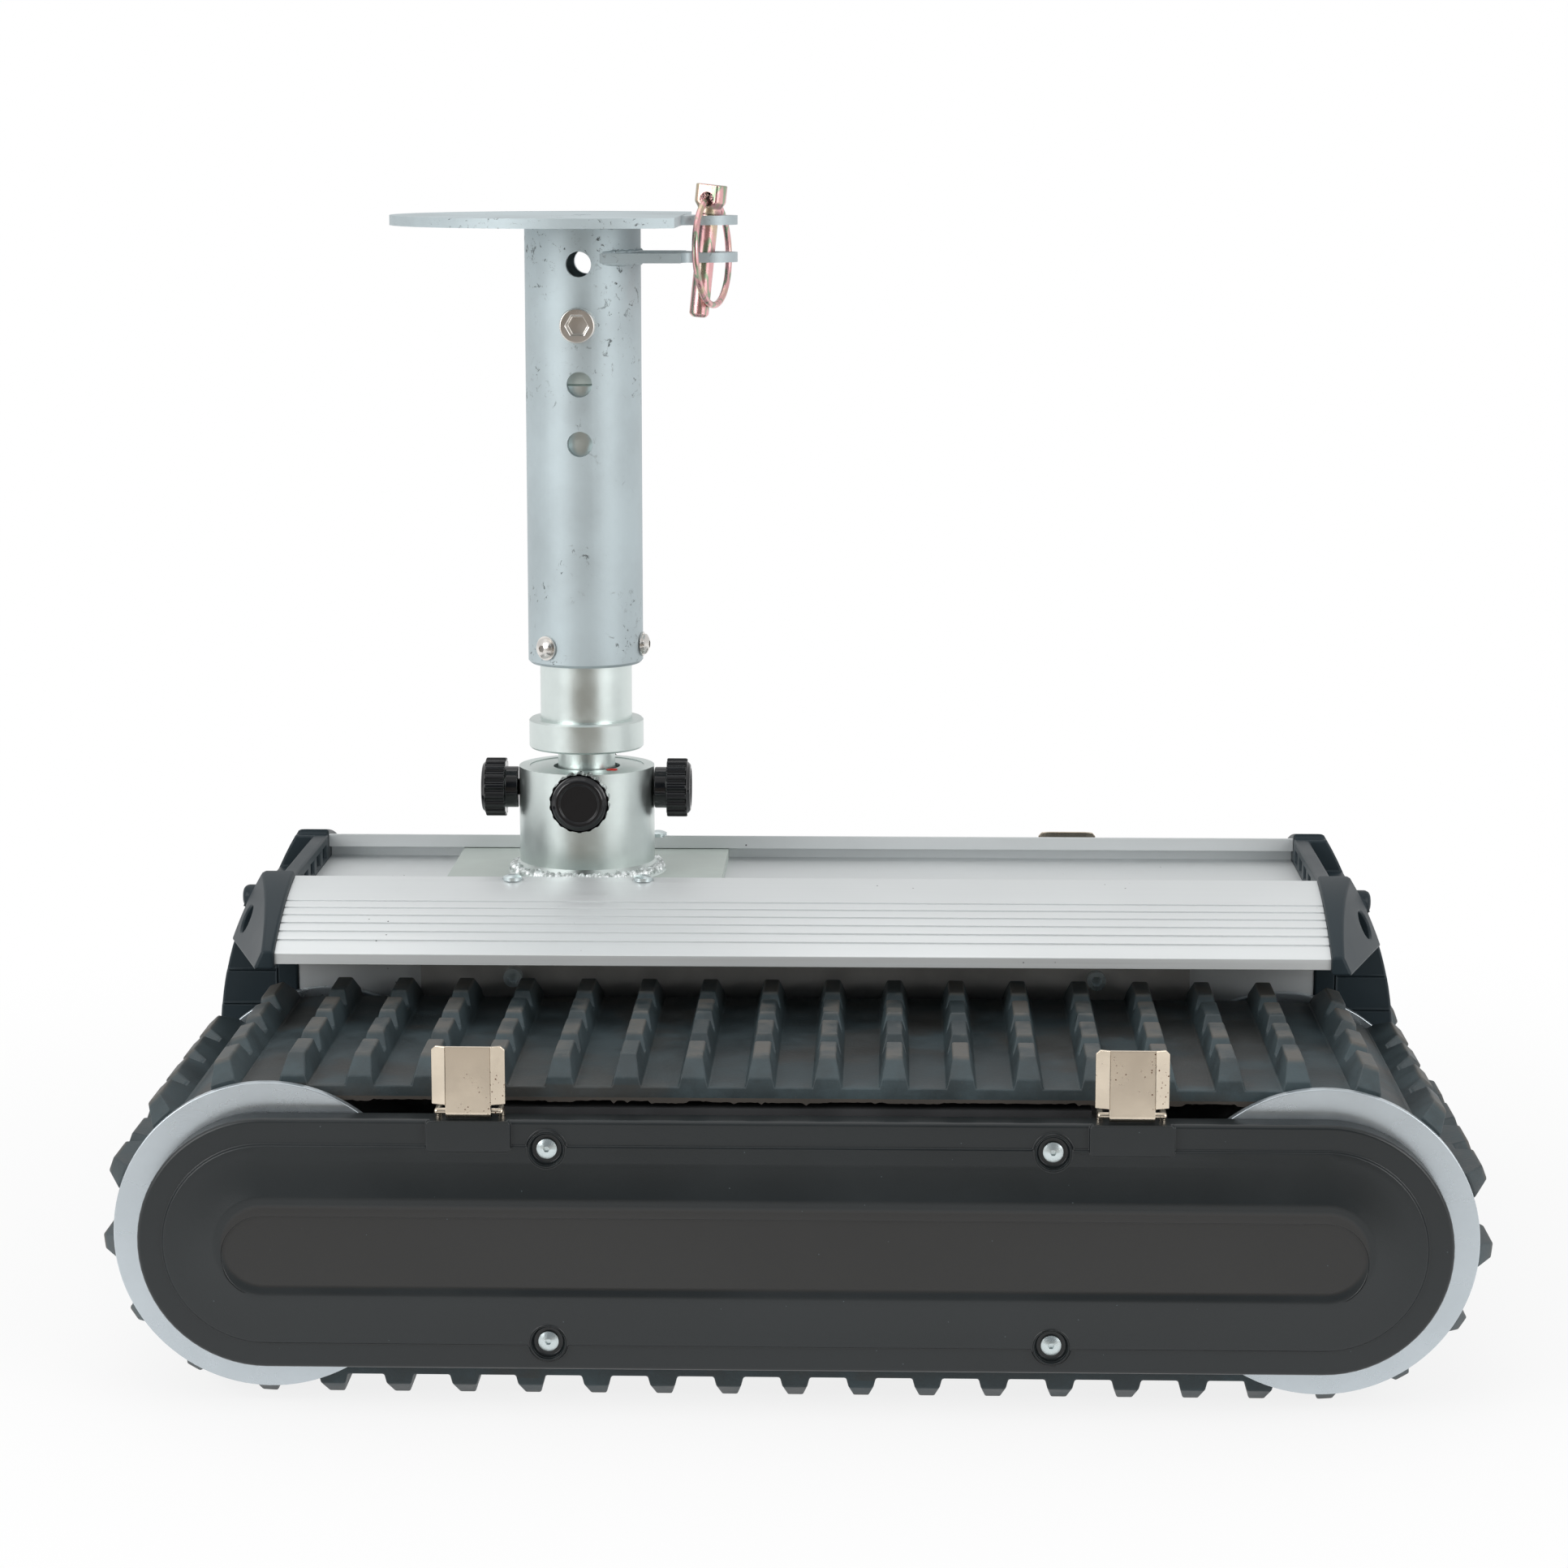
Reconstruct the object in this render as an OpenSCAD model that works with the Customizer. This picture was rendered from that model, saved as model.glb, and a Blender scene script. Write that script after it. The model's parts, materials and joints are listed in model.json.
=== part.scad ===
// Caravan motor mover: an aluminium body on two rubber tracks, with a swivelling support mast.
// X runs along the tracks, Y from front to rear, Z up. The origin is on the ground under the middle of the body.

/* [Tracks] */
// Distance between the two axles of a track
wheelbase = 490; // [440:1:540]
// Radius of the belt's outer surface where it bends round a drum
belt_radius = 70; // [62:0.5:76]
// Thickness of the belt without its lugs
belt_thick = 6; // [4:0.5:8]
// Width of the belt
belt_width = 194; // [150:1:220]
// Distance from the middle plane to the belt's inner edge
belt_inset = 70; // [68:0.5:84]
// Height of a lug above the belt
lug_height = 12.5; // [9:0.5:15]
// Number of lug rows round the belt
lug_count = 45; // [40:1:48]
// Length of a lug along the belt at its root
lug_root = 14; // [11:0.5:16]
// Length of a lug along the belt at its crest
lug_crest = 7.5; // [5:0.5:10]
// Blocks in one lug row
lug_blocks = 4; // [2:1:6]
// Width of the notch between two blocks, at the crest
notch_crest = 17; // [10:0.5:20]
// Width of the notch between two blocks, at its floor
notch_floor = 8; // [4:0.5:9]
// Depth of the notch below the crest
notch_depth = 7.5; // [4:0.5:8.5]
// How far the end bevel of a lug row runs in from the belt's edge
bevel_run = 13.5; // [6:0.5:18]
// How far the end bevel drops at the belt's edge
bevel_drop = 8; // [4:0.5:8.5]

/* [Wheels] */
// Running clearance between a drum and its belt
drum_gap = 0.3; // [0.2:0.05:0.6]
// Wall thickness of a drum's rim and web
drum_wall = 8; // [5:0.5:12]
// Radius of a flange disc
flange_radius = 73; // [71:0.5:76]
// Thickness of a flange disc
flange_thick = 5; // [3:0.5:6]
// Gap between the belt's edge and a flange disc
flange_gap = 4; // [2:0.5:5]
// Diameter of an axle
axle_d = 25; // [20:0.5:26]
// Clearance in a press or running fit
fit = 0.05; // [0.02:0.01:0.1]
// Outer diameter of the inner ball bearings
bearing_d = 47; // [42:0.5:52]
// Width of the inner ball bearings
bearing_w = 12; // [10:0.5:14]
// Outer diameter of the thin outer ball bearings
thin_bearing_d = 37; // [34:0.5:42]
// Wall of the block round an inner bearing
block_wall = 4.5; // [3:0.5:6]

/* [Track frame] */
// Half the length of the slider beam between the drums
beam_half = 138; // [110:1:142]
// Gap between the slider beam and the belt's inner surface
beam_gap = 4; // [2:0.5:8]
// Wall thickness of the slider beam
beam_wall = 5; // [3:0.5:8]
// Thickness of the side plate that bolts to the body
plate_thick = 4; // [2:0.5:4.5]
// Half the length of the side plate
plate_half = 198; // [170:1:210]
// Height of the side plate's top edge above the ground
plate_top = 170; // [166:0.5:176]
// Half the distance between the side plate's bolts
bolt_half = 150; // [149:1:164]
// Distance of the bolts from the side plate's edge
bolt_edge = 9; // [7:0.5:12]
// Diameter of the side plate's bolts
bolt_d = 6; // [4:0.5:8]
// Radius of the outer carrier plate's round ends
carrier_radius = 50; // [40:0.5:52]
// Thickness of the outer carrier plate
carrier_thick = 8; // [6:0.5:9]
// Gap between the outer flange disc and the carrier plate
carrier_gap = 3; // [2:0.5:4]

/* [Covers] */
// Radius of a cover's round ends
cover_radius = 59.5; // [56:0.5:62]
// Depth of the cover's flat rim
cover_depth = 13; // [11:0.5:16]
// Wall thickness of the cover
cover_wall = 3; // [2:0.25:4]
// Gap between the outer flange disc and the cover's edge
cover_gap = 1.5; // [1:0.25:2.5]
// Rounding of the rim's outer edge
rim_round = 2; // [1:0.25:3]
// Width of the flat rim band
rim_width = 12.5; // [9:0.5:16]
// Height of the step from the rim up to the raised panel
panel_step = 1.6; // [0.8:0.2:3]
// Height of the raised panel's crown above the rim
panel_rise = 5.5; // [4:0.25:8]
// Radius of the long recess's round ends
recess_radius = 19.5; // [12:0.5:24]
// Depth of the long recess
recess_depth = 1.2; // [0.6:0.1:1.8]
// How far the long recess lies below the axle line
recess_drop = 5; // [0:0.5:8]
// Distance between the cover screws along the track
cover_screw_pitch = 233; // [180:1:280]
// Height of the cover screws above and below the axle line
cover_screw_rise = 46; // [40:0.5:46]
// Radius of the countersunk pocket round a cover screw
pocket_radius = 7.8; // [6:0.1:9]
// Wall thickness of the collar round a pocket
collar_wall = 1.6; // [1:0.1:2]
// Height of the collar's inner lip above the panel's step
collar_lip = 0.6; // [0.3:0.1:1.5]
// Diameter of a cover screw's shank
cover_screw_d = 5; // [4:0.5:6]
// Diameter of a cover screw's head
cover_head_d = 9.4; // [8:0.2:11]
// How far the screws and latches sit to the right of the cover's middle
fitting_shift = 3; // [0:0.5:4]

/* [Latches] */
// Distance between the two latches of a cover
latch_pitch = 305; // [270:1:330]
// Width of a latch lever
latch_width = 34; // [28:0.5:38]
// Height of a latch lever above its hinge
latch_height = 31; // [24:0.5:36]
// Sheet thickness of a latch lever
latch_thick = 1.5; // [1:0.1:2]
// Width of the flat middle of a latch lever
latch_flat = 21; // [16:0.5:24]
// Size of the clipped upper corners of a latch lever
latch_clip = 2; // [0.5:0.5:4]
// How far the wings of a latch lever bend back
wing_bend = 2.4; // [1:0.1:4]
// Diameter of the wire bail that a latch turns on
latch_pin_d = 3; // [2:0.1:4]
// Distance between the legs of a wire bail
latch_pin_len = 29; // [27:0.5:32]
// How far a wire bail's legs run back from the latch
bail_reach = 7; // [5:0.5:8]
// Gap between a latch lever's barrel and what it turns beside
latch_gap = 0.5; // [0.3:0.1:0.8]
// Width of the pad raised on the rim under a latch
pad_width = 39; // [36:0.5:44]
// Height of the pad
pad_height = 14.5; // [8:0.5:16]
// Height of the pad above the rim
pad_rise = 2.5; // [1:0.25:3]
// Rounding of the pad's corners
pad_round = 2; // [0.5:0.25:4]

/* [Body] */
// How much longer the body extrusion is than the wheelbase
body_over = 34; // [30:1:70]
// Width of the body across its side walls
body_width = 112; // [100:1:114]
// Wall thickness of the side walls and deck
wall = 4; // [3:0.25:5]
// Height of the bottom tray's underside
tray_z = 40; // [32:0.5:44]
// Thickness of the bottom tray
tray_thick = 4; // [2:0.25:5]
// Height of the channel floor
deck_z = 200; // [196:0.5:204]
// Height of the T-slot under the lips
slot_height = 6.3; // [6.1:0.1:7]
// Half the width of the T-slot
slot_half = 70; // [68:0.5:74]
// Half the distance between the lips of the channel
lip_half = 61; // [58:0.5:63]
// Height of the lips
lip_z = 213.3; // [211:0.1:216]
// Half the width of the roof across its eaves
eave_half = 135; // [125:0.5:142]
// Height of the eave's upper edge
eave_z = 187.7; // [186:0.1:191]
// Depth of the eave's lip
eave_drop = 5.4; // [3:0.1:6]
// Radius of the curved roof flank
flank_radius = 205; // [160:1:260]
// Wall thickness of the roof flank
flank_wall = 4; // [3:0.25:5]
// Number of fine grooves along each flank
groove_count = 6; // [3:1:8]
// Distance from the lip to the first groove along the flank
groove_first = 32; // [20:0.5:36]
// Distance between two grooves
groove_pitch = 7.25; // [4:0.25:7.5]
// Width of a groove
groove_width = 1.4; // [0.8:0.1:2]
// Depth of a groove
groove_depth = 0.9; // [0.5:0.1:1.2]
// Outer diameter of the screw ports inside the side walls
port_d = 9; // [8:0.5:9]
// Diameter of the end cap screws
cap_screw_d = 4; // [3:0.5:4.5]

/* [End caps] */
// How far an end cap reaches out from the extrusion
cap_reach = 41; // [36:0.5:48]
// Radius of the end cap's bulging outer face
cap_bulge = 167; // [140:1:200]
// Height of the end cap's outermost line
cap_bulge_z = 128; // [118:1:136]
// How far the end cap stands proud of the roof
cap_proud = 2.5; // [1.5:0.25:4]
// Width of the band where a lobe wraps the roof's end
cap_band = 10; // [5:0.5:12]
// Half the width of the end cap below the roof
cap_half = 57.5; // [56:0.25:59]
// Height of the lobes' underside
lobe_z = 180; // [177:0.5:182]
// Reach of a lobe at its inner end
lobe_reach = 32.5; // [24:0.5:36]
// Half the width at which a lobe reaches furthest
lobe_half = 66; // [62:0.5:80]
// Reach of a lobe at the height of the roof's lips
crest_reach = 18.5; // [14:0.5:24]
// Wall thickness of the end cap
cap_wall = 5; // [3:0.25:7]
// Half the width of the hand-hold between the lobes
grip_half = 56; // [48:0.5:57]
// Thickness of the grip bar between hand-hold and channel
grip_bar = 8; // [6:0.25:11]
// Height of the hand-hold's floor
grip_z = 196; // [190:0.5:198]
// Number of vent slots in the grip bar
vent_count = 5; // [3:1:7]
// Width of a vent slot
vent_width = 12; // [6:0.5:14]
// Height of a vent slot
vent_height = 6; // [3:0.25:7]
// Diameter of the round socket in a lobe's outer face
socket_d = 14.5; // [8:0.5:16]
// Depth of that socket
socket_depth = 10; // [5:0.5:12]
// Distance of that socket from the middle plane
socket_y = 76; // [72:0.5:100]
// Height of that socket
socket_z = 193.5; // [190:0.5:196]
// Radius of the round boss at the front lobe's inner end
boss_r = 6; // [4:0.5:7]
// Reach of that boss
boss_reach = 28.5; // [24:0.5:32]
// Distance of that boss from the middle plane
boss_y = 51; // [48:0.5:54]
// Height of that boss
boss_z = 200.5; // [198:0.5:204]
// Width of the plain strip where the skirt meets the body
skirt_strip = 11; // [6:0.5:16]
// Height of the skirt's upper ledge
ledge_top = 162.5; // [154:0.5:170]
// Height of the skirt's lower ledge
ledge_foot = 145; // [138:0.5:152]
// Depth of each ledge
ledge_step = 1.2; // [0.6:0.1:1.5]

/* [Mast base] */
// Place of the mast's axis along the body
mast_x = -116; // [-160:1:-80]
// Width of the base plate along the body
base_width = 144; // [120:1:160]
// Thickness of the base plate
base_thick = 6; // [4:0.25:6]
// Clearance round the base plate in the T-slot
base_clear = 0.5; // [0.3:0.1:1]
// Half the distance between the base plate's screws along the body
base_screw_half = 33.5; // [30:0.5:50]
// Diameter of the base plate's screws
base_screw_d = 5; // [4:0.5:5]
// Outer diameter of the hub
hub_d = 71; // [68:0.5:78]
// Height of the hub's top
hub_top = 262; // [256:0.5:268]
// Leg of the weld bead round the hub
weld = 6; // [4:0.5:8]
// Diameter of the bearing cartridge in the hub
cartridge_d = 60; // [54:0.5:60]
// Diameter of the mouth in the cartridge's top
mouth_d = 35; // [33:0.5:40]
// Depth of that mouth
mouth_depth = 7; // [4:0.5:10]

/* [Knobs] */
// Diameter of a clamping knob
knob_d = 31; // [26:0.5:34]
// Thickness of a knob's head
knob_thick = 12.5; // [9:0.5:15]
// Diameter of a knob's neck
neck_d = 21.6; // [16:0.2:24]
// Length of a knob's neck
neck_len = 6.5; // [4:0.5:9]
// Flutes round a knob's head
flutes = 18; // [12:1:24]
// Height of the knobs above the ground
knob_z = 250; // [246:0.5:252]
// Diameter of a knob's stud
stud_d = 8; // [6:0.5:10]

/* [Swivel post] */
// Diameter of the swivel shaft
shaft_d = 30; // [24:0.5:30]
// Gap between the hub and the collar
collar_gap = 9.7; // [6:0.1:14]
// Diameter of the collar
collar_d = 60; // [56:0.5:62]
// Thickness of the collar
collar_thick = 15.5; // [10:0.5:20]
// Outer diameter of the sleeve
sleeve_d = 48; // [44:0.5:48]
// Bare sleeve between the collar and the tube
sleeve_bare = 29.5; // [15:0.5:40]

/* [Mast tube] */
// Outer diameter of the mast tube
tube_d = 60; // [58:0.5:64]
// Length of the mast tube
tube_len = 227; // [215:1:235]
// Sliding clearance between tube and sleeve
tube_clear = 0.3; // [0.2:0.05:0.5]
// Diameter of the cross holes
hole_d = 13; // [12.5:0.1:14]
// Distance between the cross holes
hole_pitch = 30.5; // [26:0.5:32]
// Distance from the tube's top to the first hole
hole_first = 19.5; // [18:0.5:22]
// Number of cross holes
hole_count = 4; // [3:1:4]
// Diameter of the height bolt
height_bolt_d = 12; // [10:0.5:12]
// Diameter of the height bolt's head
height_head_d = 18; // [16:0.5:19]
// Height of the inner plug above the sleeve
plug_len = 48; // [40:0.5:50]
// Diameter of the guide screws
guide_d = 6; // [4:0.5:8]
// Height of the guide screws above the tube's foot
guide_z = 10; // [7:0.5:16]
// Turn of the first guide screw from the front
guide_turn = -38; // [-60:1:0]

/* [Top plate] */
// Diameter of the top plate
plate_d = 198; // [180:1:210]
// Thickness of the top plate and of the lower ear
top_thick = 5; // [4:0.25:7]
// Distance from the mast's axis to the plate's cut edge
plate_cut = 52; // [44:0.5:56]
// Diameter of the plate's centre hole
centre_hole_d = 9; // [6:0.5:12]
// Distance from the mast's axis to the locking pin
pin_reach = 64; // [62:0.5:72]
// Width of the ear
ear_width = 32; // [28:0.5:36]
// Fillet where the ear meets the plate
ear_fillet = 6; // [4:0.5:8]
// Clear height between the two ears
ear_gap = 14; // [10:0.5:16]
// Width of the lower ear plate at the tube
lower_width = 56; // [46:0.5:58]
// Step from the support face down to the ear
ear_step = 0.3; // [0.2:0.05:0.6]

/* [Locking pin] */
// Diameter of the locking pin
pin_d = 10; // [8:0.5:10]
// Diameter of the pin's holes in the ears
ear_hole_d = 13.2; // [13:0.1:14]
// Length of the pin below its head
pin_len = 53; // [40:0.5:60]
// Diameter of the pin's head
pin_head_d = 16; // [15:0.5:18]
// Height of the pin's head
pin_head_h = 15; // [13:0.5:18]
// Distance across the head's two flats
pin_flats = 12.5; // [11:0.5:14]
// Diameter of the neck under the pin's head
pin_neck_d = 12; // [11:0.5:12.5]
// How far the pin leans in its holes
pin_lean = 6; // [0:0.5:6]
// How far the pin is turned about itself
pin_turn = -16; // [-30:1:0]
// Diameter of the cross hole in the head
pin_eye_d = 6.6; // [6.4:0.1:7]
// Mean diameter of the wire ring
ring_d = 54; // [50:0.5:60]
// Wire diameter of the ring
ring_wire = 3.4; // [2.8:0.1:3.6]
// Angle at which the ring hangs out from the pin
ring_tilt = 8; // [8:0.5:20]

/* [Inside] */
// Diameter of a drive motor
motor_d = 54; // [40:1:56]
// Length of a drive motor
motor_len = 118; // [90:1:124]
// Radius of a gearbox round the axle
gearbox_radius = 26; // [20:0.5:26]
// Depth of a gearbox along the axle
gearbox_depth = 32; // [24:0.5:36]
// Length of a gearbox from the axle to the motor
gearbox_len = 48; // [42:0.5:56]
// Clear length between the battery and each motor
battery_clear = 19; // [8:1:30]
// Height of the battery
battery_height = 100; // [60:1:110]
// Gap between the battery and the screw ports
battery_gap = 2; // [1:0.5:6]
// Length of the control unit
control_len = 110; // [80:1:120]
// Height of the control unit
control_height = 32; // [20:0.5:40]

/* [Hidden] */
$fn = 64;
eps = 0.01;
far = 400;
half_base = wheelbase / 2;
crest_r = belt_radius + lug_height;
axle_z = crest_r;
belt_out = belt_inset + belt_width;
belt_pitch_r = belt_radius - belt_thick / 2;
belt_loop = 2 * wheelbase + 2 * PI * belt_pitch_r;
belt_inner_r = belt_radius - belt_thick;
drum_r = belt_inner_r - drum_gap;
drum_in = belt_inset - flange_gap;
drum_out = belt_out + flange_gap;
flange_in = drum_in - flange_thick;
flange_out = drum_out + flange_thick;
axle_r = axle_d / 2;
wall_out = body_width / 2;
wall_in = wall_out - wall;
body_length = wheelbase + body_over;
body_half = body_length / 2;
battery_len = 2 * (half_base - gearbox_len - motor_len - battery_clear);
body_foot = tray_z + tray_thick;
block_r = bearing_d / 2 + block_wall;
block_in = wall_in - bearing_w;
plate_out = wall_out + plate_thick;
bolt_top = plate_top - bolt_edge;
bolt_foot = body_foot + bolt_edge;
carrier_in = flange_out + carrier_gap;
carrier_out = carrier_in + carrier_thick;
cover_in = flange_out + cover_gap;
rim_out = cover_in + cover_depth;
panel_r = cover_radius - rim_width;
panel_out = rim_out + panel_rise;
cover_screw_x = [for (s = [-1, 1]) fitting_shift + s * cover_screw_pitch / 2];
latch_x = [for (s = [-1, 1]) fitting_shift + s * latch_pitch / 2];
latch_pin_r = latch_pin_d / 2;
barrel_r = latch_pin_r + latch_thick;
latch_y = cover_radius + barrel_r + latch_gap;
latch_depth = rim_out - barrel_r;
barrel_half = latch_flat / 2;
bail_drop = latch_y - cover_radius + cover_wall;
// Middle of the circle that the roof flank follows, from the lip to the eave
flank_chord = [eave_half - lip_half, eave_z - lip_z];
flank_span = norm(flank_chord);
flank_sag = sqrt(pow(flank_radius, 2) - pow(flank_span / 2, 2));
flank_y = (lip_half + eave_half) / 2 + flank_chord.y / flank_span * flank_sag;
flank_z = (lip_z + eave_z) / 2 - flank_chord.x / flank_span * flank_sag;
flank_start = asin((lip_half - flank_y) / flank_radius);
arc_deg = 180 / (PI * flank_radius);
lip_foot = deck_z + slot_height;
port_y = wall_in - port_d / 2;
port_top = deck_z - wall - port_d;
port_foot = body_foot + port_d / 2 + eps;
block_foot = port_foot + cap_screw_d / 2 + fit;
cap_out = body_half + cap_reach;
cap_seat = body_half + cap_wall + 1;
tray_screw_x = body_half * 0.78;
// A lobe's outer face leans: it runs through the eave's tip, the lobe's root and its crest at the lip
lobe_tip = [body_half + cap_band, eave_half + cap_proud, lobe_z];
lobe_root = [body_half + lobe_reach, lobe_half, lobe_z];
lobe_crest = [body_half + crest_reach, lip_half, lip_z];
lobe_face = cross(lobe_crest - lobe_tip, lobe_root - lobe_tip);
lobe_turn = [0, -asin(lobe_face.z / norm(lobe_face)), atan2(lobe_face.y, lobe_face.x)];
socket_x = lobe_tip.x - (lobe_face.y * (socket_y - lobe_tip.y) + lobe_face.z * (socket_z - lobe_z)) / lobe_face.x;
base_screw_y = (lip_half + slot_half) / 2;
lip_seat = lip_z - 1;
hub_r = hub_d / 2;
hub_foot = deck_z + base_thick;
cartridge_r = cartridge_d / 2;
cartridge_floor = hub_foot + 6;
knob_in = hub_r + 0.4;
stud_tip = cartridge_r - 1.5;
groove_r = cartridge_r - 3;
collar_z = hub_top + collar_gap;
sleeve_z = collar_z + collar_thick;
tube_z = sleeve_z + sleeve_bare;
tube_top = tube_z + tube_len;
tube_r = tube_d / 2;
tube_bore_r = sleeve_d / 2 + tube_clear;
hole_z = [for (i = [0 : hole_count - 1]) tube_top - hole_first - i * hole_pitch];
bolt_z = hole_z[1];
// The sleeve ends level with the third hole, where the plug rests on it
sleeve_top = hole_z[2];
plate_z = tube_top;
pin_seat = tube_top + top_thick - ear_step;
lower_ear_z = tube_top - ear_gap - top_thick;
// The leaning pin crosses the ears' hole axis halfway between them, and its neck just touches the plate
pin_lift = pin_neck_d / 2 * sin(pin_lean) + fit;
pin_x = mast_x + pin_reach + (pin_lift + top_thick - ear_step + ear_gap / 2) * tan(pin_lean);
control_z = deck_z - wall - control_height;
case_half = wall_in - port_d - battery_gap;
drive_axle_in = block_in - gearbox_depth + 5;

// Helpers

// Places a track's own frame: x along the track, y up from the axle line, z out from the middle plane
module track(turn = 0) {
    rotate([0, 0, turn]) translate([0, 0, axle_z]) rotate([90, 0, 0]) children();
}

// Outline with two round ends
module stadium(r, half = half_base) {
    for (s = [-1, 1]) translate([s * half, 0]) circle(r);
    square([2 * half, 2 * r], center = true);
}

// Sweeps an outline in (radius, depth) round a loop with two round ends
module round_loop(half = half_base) {
    for (s = [0, 1]) mirror([s, 0, 0]) translate([half, 0, 0]) rotate([0, 0, -90]) rotate_extrude(angle = 180) children();
    rotate([90, 0, 90]) linear_extrude(2 * half, center = true) {
        children();
        mirror([1, 0]) children();
    }
}

// Both X ends of the body
module both_ends() {
    for (s = [0, 1]) mirror([s, 0, 0]) children();
}

// Extrudes an end view, drawn in Y and Z, along X
module along_x(from, to) {
    translate([from, 0, 0]) rotate([90, 0, 90]) linear_extrude(to - from) children();
}

// Pan-head screw pointing down from its seat at the origin
module pan_screw(d, length) {
    translate([0, 0, -length]) cylinder(d = d, h = length);
    intersection() {
        cylinder(d = 1.9 * d, h = 0.65 * d);
        translate([0, 0, -1.1 * d]) sphere(r = 1.75 * d);
    }
}

// Socket-head screw pointing down from its seat at the origin
module socket_screw(d, length, head_d) {
    difference() {
        union() {
            translate([0, 0, -length]) cylinder(d = d, h = length);
            cylinder(d = head_d, h = d);
        }
        translate([0, 0, 0.4 * d]) cylinder(d = 0.95 * d, h = d, $fn = 6);
    }
}

// Body

module flank_arc(r) {
    translate([flank_y, flank_z]) circle(r);
}

// One side of the roof between two radii about the flank's middle, from the lip out to the eave
module flank(outer, inner, from, to) {
    intersection() {
        difference() {
            flank_arc(outer);
            if (inner > 0) flank_arc(inner);
        }
        translate([from, lobe_z]) square([to - from, lip_z + far - lobe_z]);
    }
}

module roof_side() {
    difference() {
        union() {
            flank(flank_radius, flank_radius - flank_wall, slot_half, eave_half);
            // Lip that overhangs the T-slot
            intersection() {
                flank(flank_radius, 0, lip_half, slot_half + wall);
                translate([0, lip_foot]) square([far, far]);
            }
            // Wall of the T-slot, down to the deck
            translate([slot_half, deck_z - wall]) square([wall, lip_foot + wall - deck_z]);
            // Eave lip
            translate([eave_half - flank_wall, eave_z - eave_drop]) square([flank_wall, eave_drop]);
        }
        for (i = [0 : groove_count - 1])
            translate([flank_y, flank_z])
                rotate(90 - flank_start - (groove_first + i * groove_pitch) * arc_deg)
                    translate([flank_radius - groove_depth, -groove_width / 2])
                        square([2 * groove_depth, groove_width]);
    }
}

module body_profile() {
    for (s = [0, 1]) mirror([s, 0]) {
        roof_side();
        translate([0, deck_z - wall]) square([slot_half + wall, wall]);
        difference() {
            union() {
                translate([wall_in, body_foot]) square([wall, deck_z - body_foot]);
                for (z = [port_foot, port_top]) translate([port_y, z]) {
                    circle(d = port_d);
                    translate([0, -port_d / 4]) square([port_d / 2 + eps, port_d / 2]);
                }
            }
            for (z = [port_foot, port_top]) translate([port_y, z]) circle(d = cap_screw_d + 2 * fit);
        }
    }
}

module body_extrusion() color("silver") difference() {
    along_x(-body_half, body_half) body_profile();
    // Axle holes and bolt holes through the side walls
    for (t = [0, 180]) track(t) {
        for (s = [-1, 1]) {
            translate([s * half_base, 0, 0]) cylinder(r = axle_r + 2, h = wall_out + 1);
            // Room for the bearing blocks in the screw ports, where the axles lie low
            translate([s * half_base, 0, block_in - fit]) cylinder(r = block_r + fit, h = bearing_w + fit - eps);
            for (z = [bolt_top, bolt_foot])
                translate([s * bolt_half, z - axle_z, 0]) cylinder(d = bolt_d + 2 * fit, h = wall_out + 1);
        }
    }
    tray_screw_places() cylinder(d = cap_screw_d + 2 * fit, h = tray_thick + port_d / 2 + 1);
    // Seats and holes of the mast socket's screws
    for (s = [-1, 1], t = [-1, 1]) translate([mast_x + s * base_screw_half, t * base_screw_y, 0]) {
        translate([0, 0, deck_z - wall - 1]) cylinder(d = base_screw_d + 2 * fit, h = far);
        translate([0, 0, lip_seat]) cylinder(d = 2.2 * base_screw_d, h = far);
    }
}

module bottom_tray() color("gray") difference() {
    translate([-body_half, -wall_out, tray_z]) cube([body_length, body_width, tray_thick]);
    tray_screw_places() translate([0, 0, -1]) cylinder(d = cap_screw_d + 2 * fit, h = far);
    // Drain holes
    for (x = [-1, 1], y = [-1, 1])
        translate([x * body_half * 0.6, y * wall_in * 0.6, tray_z - 1]) cylinder(d = 8, h = tray_thick + 2);
}

// End caps

module cap_end_view(inset = 0) {
    translate([-cap_half + inset, tray_z + inset]) square([2 * (cap_half - inset), lip_z - tray_z - 2 * inset]);
    for (s = [0, 1]) mirror([s, 0]) {
        flank(flank_radius + cap_proud, 0, 0, eave_half + cap_proud);
    }
}

module cap_side(r) {
    intersection() {
        translate([cap_out - cap_bulge, cap_bulge_z]) circle(r);
        translate([body_half, 0]) square([far, far]);
    }
}

// The end view run out to the bulging side, less the lobes' leaning faces and the ledges along the skirt
module cap_body() difference() {
    intersection() {
        along_x(body_half, cap_out) cap_end_view();
        rotate([90, 0, 0]) linear_extrude(far, center = true) cap_side(cap_bulge);
    }
    for (s = [0, 1]) mirror([0, s, 0]) {
        translate(lobe_tip) rotate(lobe_turn) translate([0, -far / 2, -far / 2]) cube(far);
        translate([body_half + skirt_strip, cap_half - ledge_step, ledge_foot]) cube([far, far, lobe_z - ledge_foot]);
        translate([body_half + skirt_strip, cap_half - 2 * ledge_step, ledge_top]) cube([far, far, lobe_z - ledge_top]);
    }
}

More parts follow.
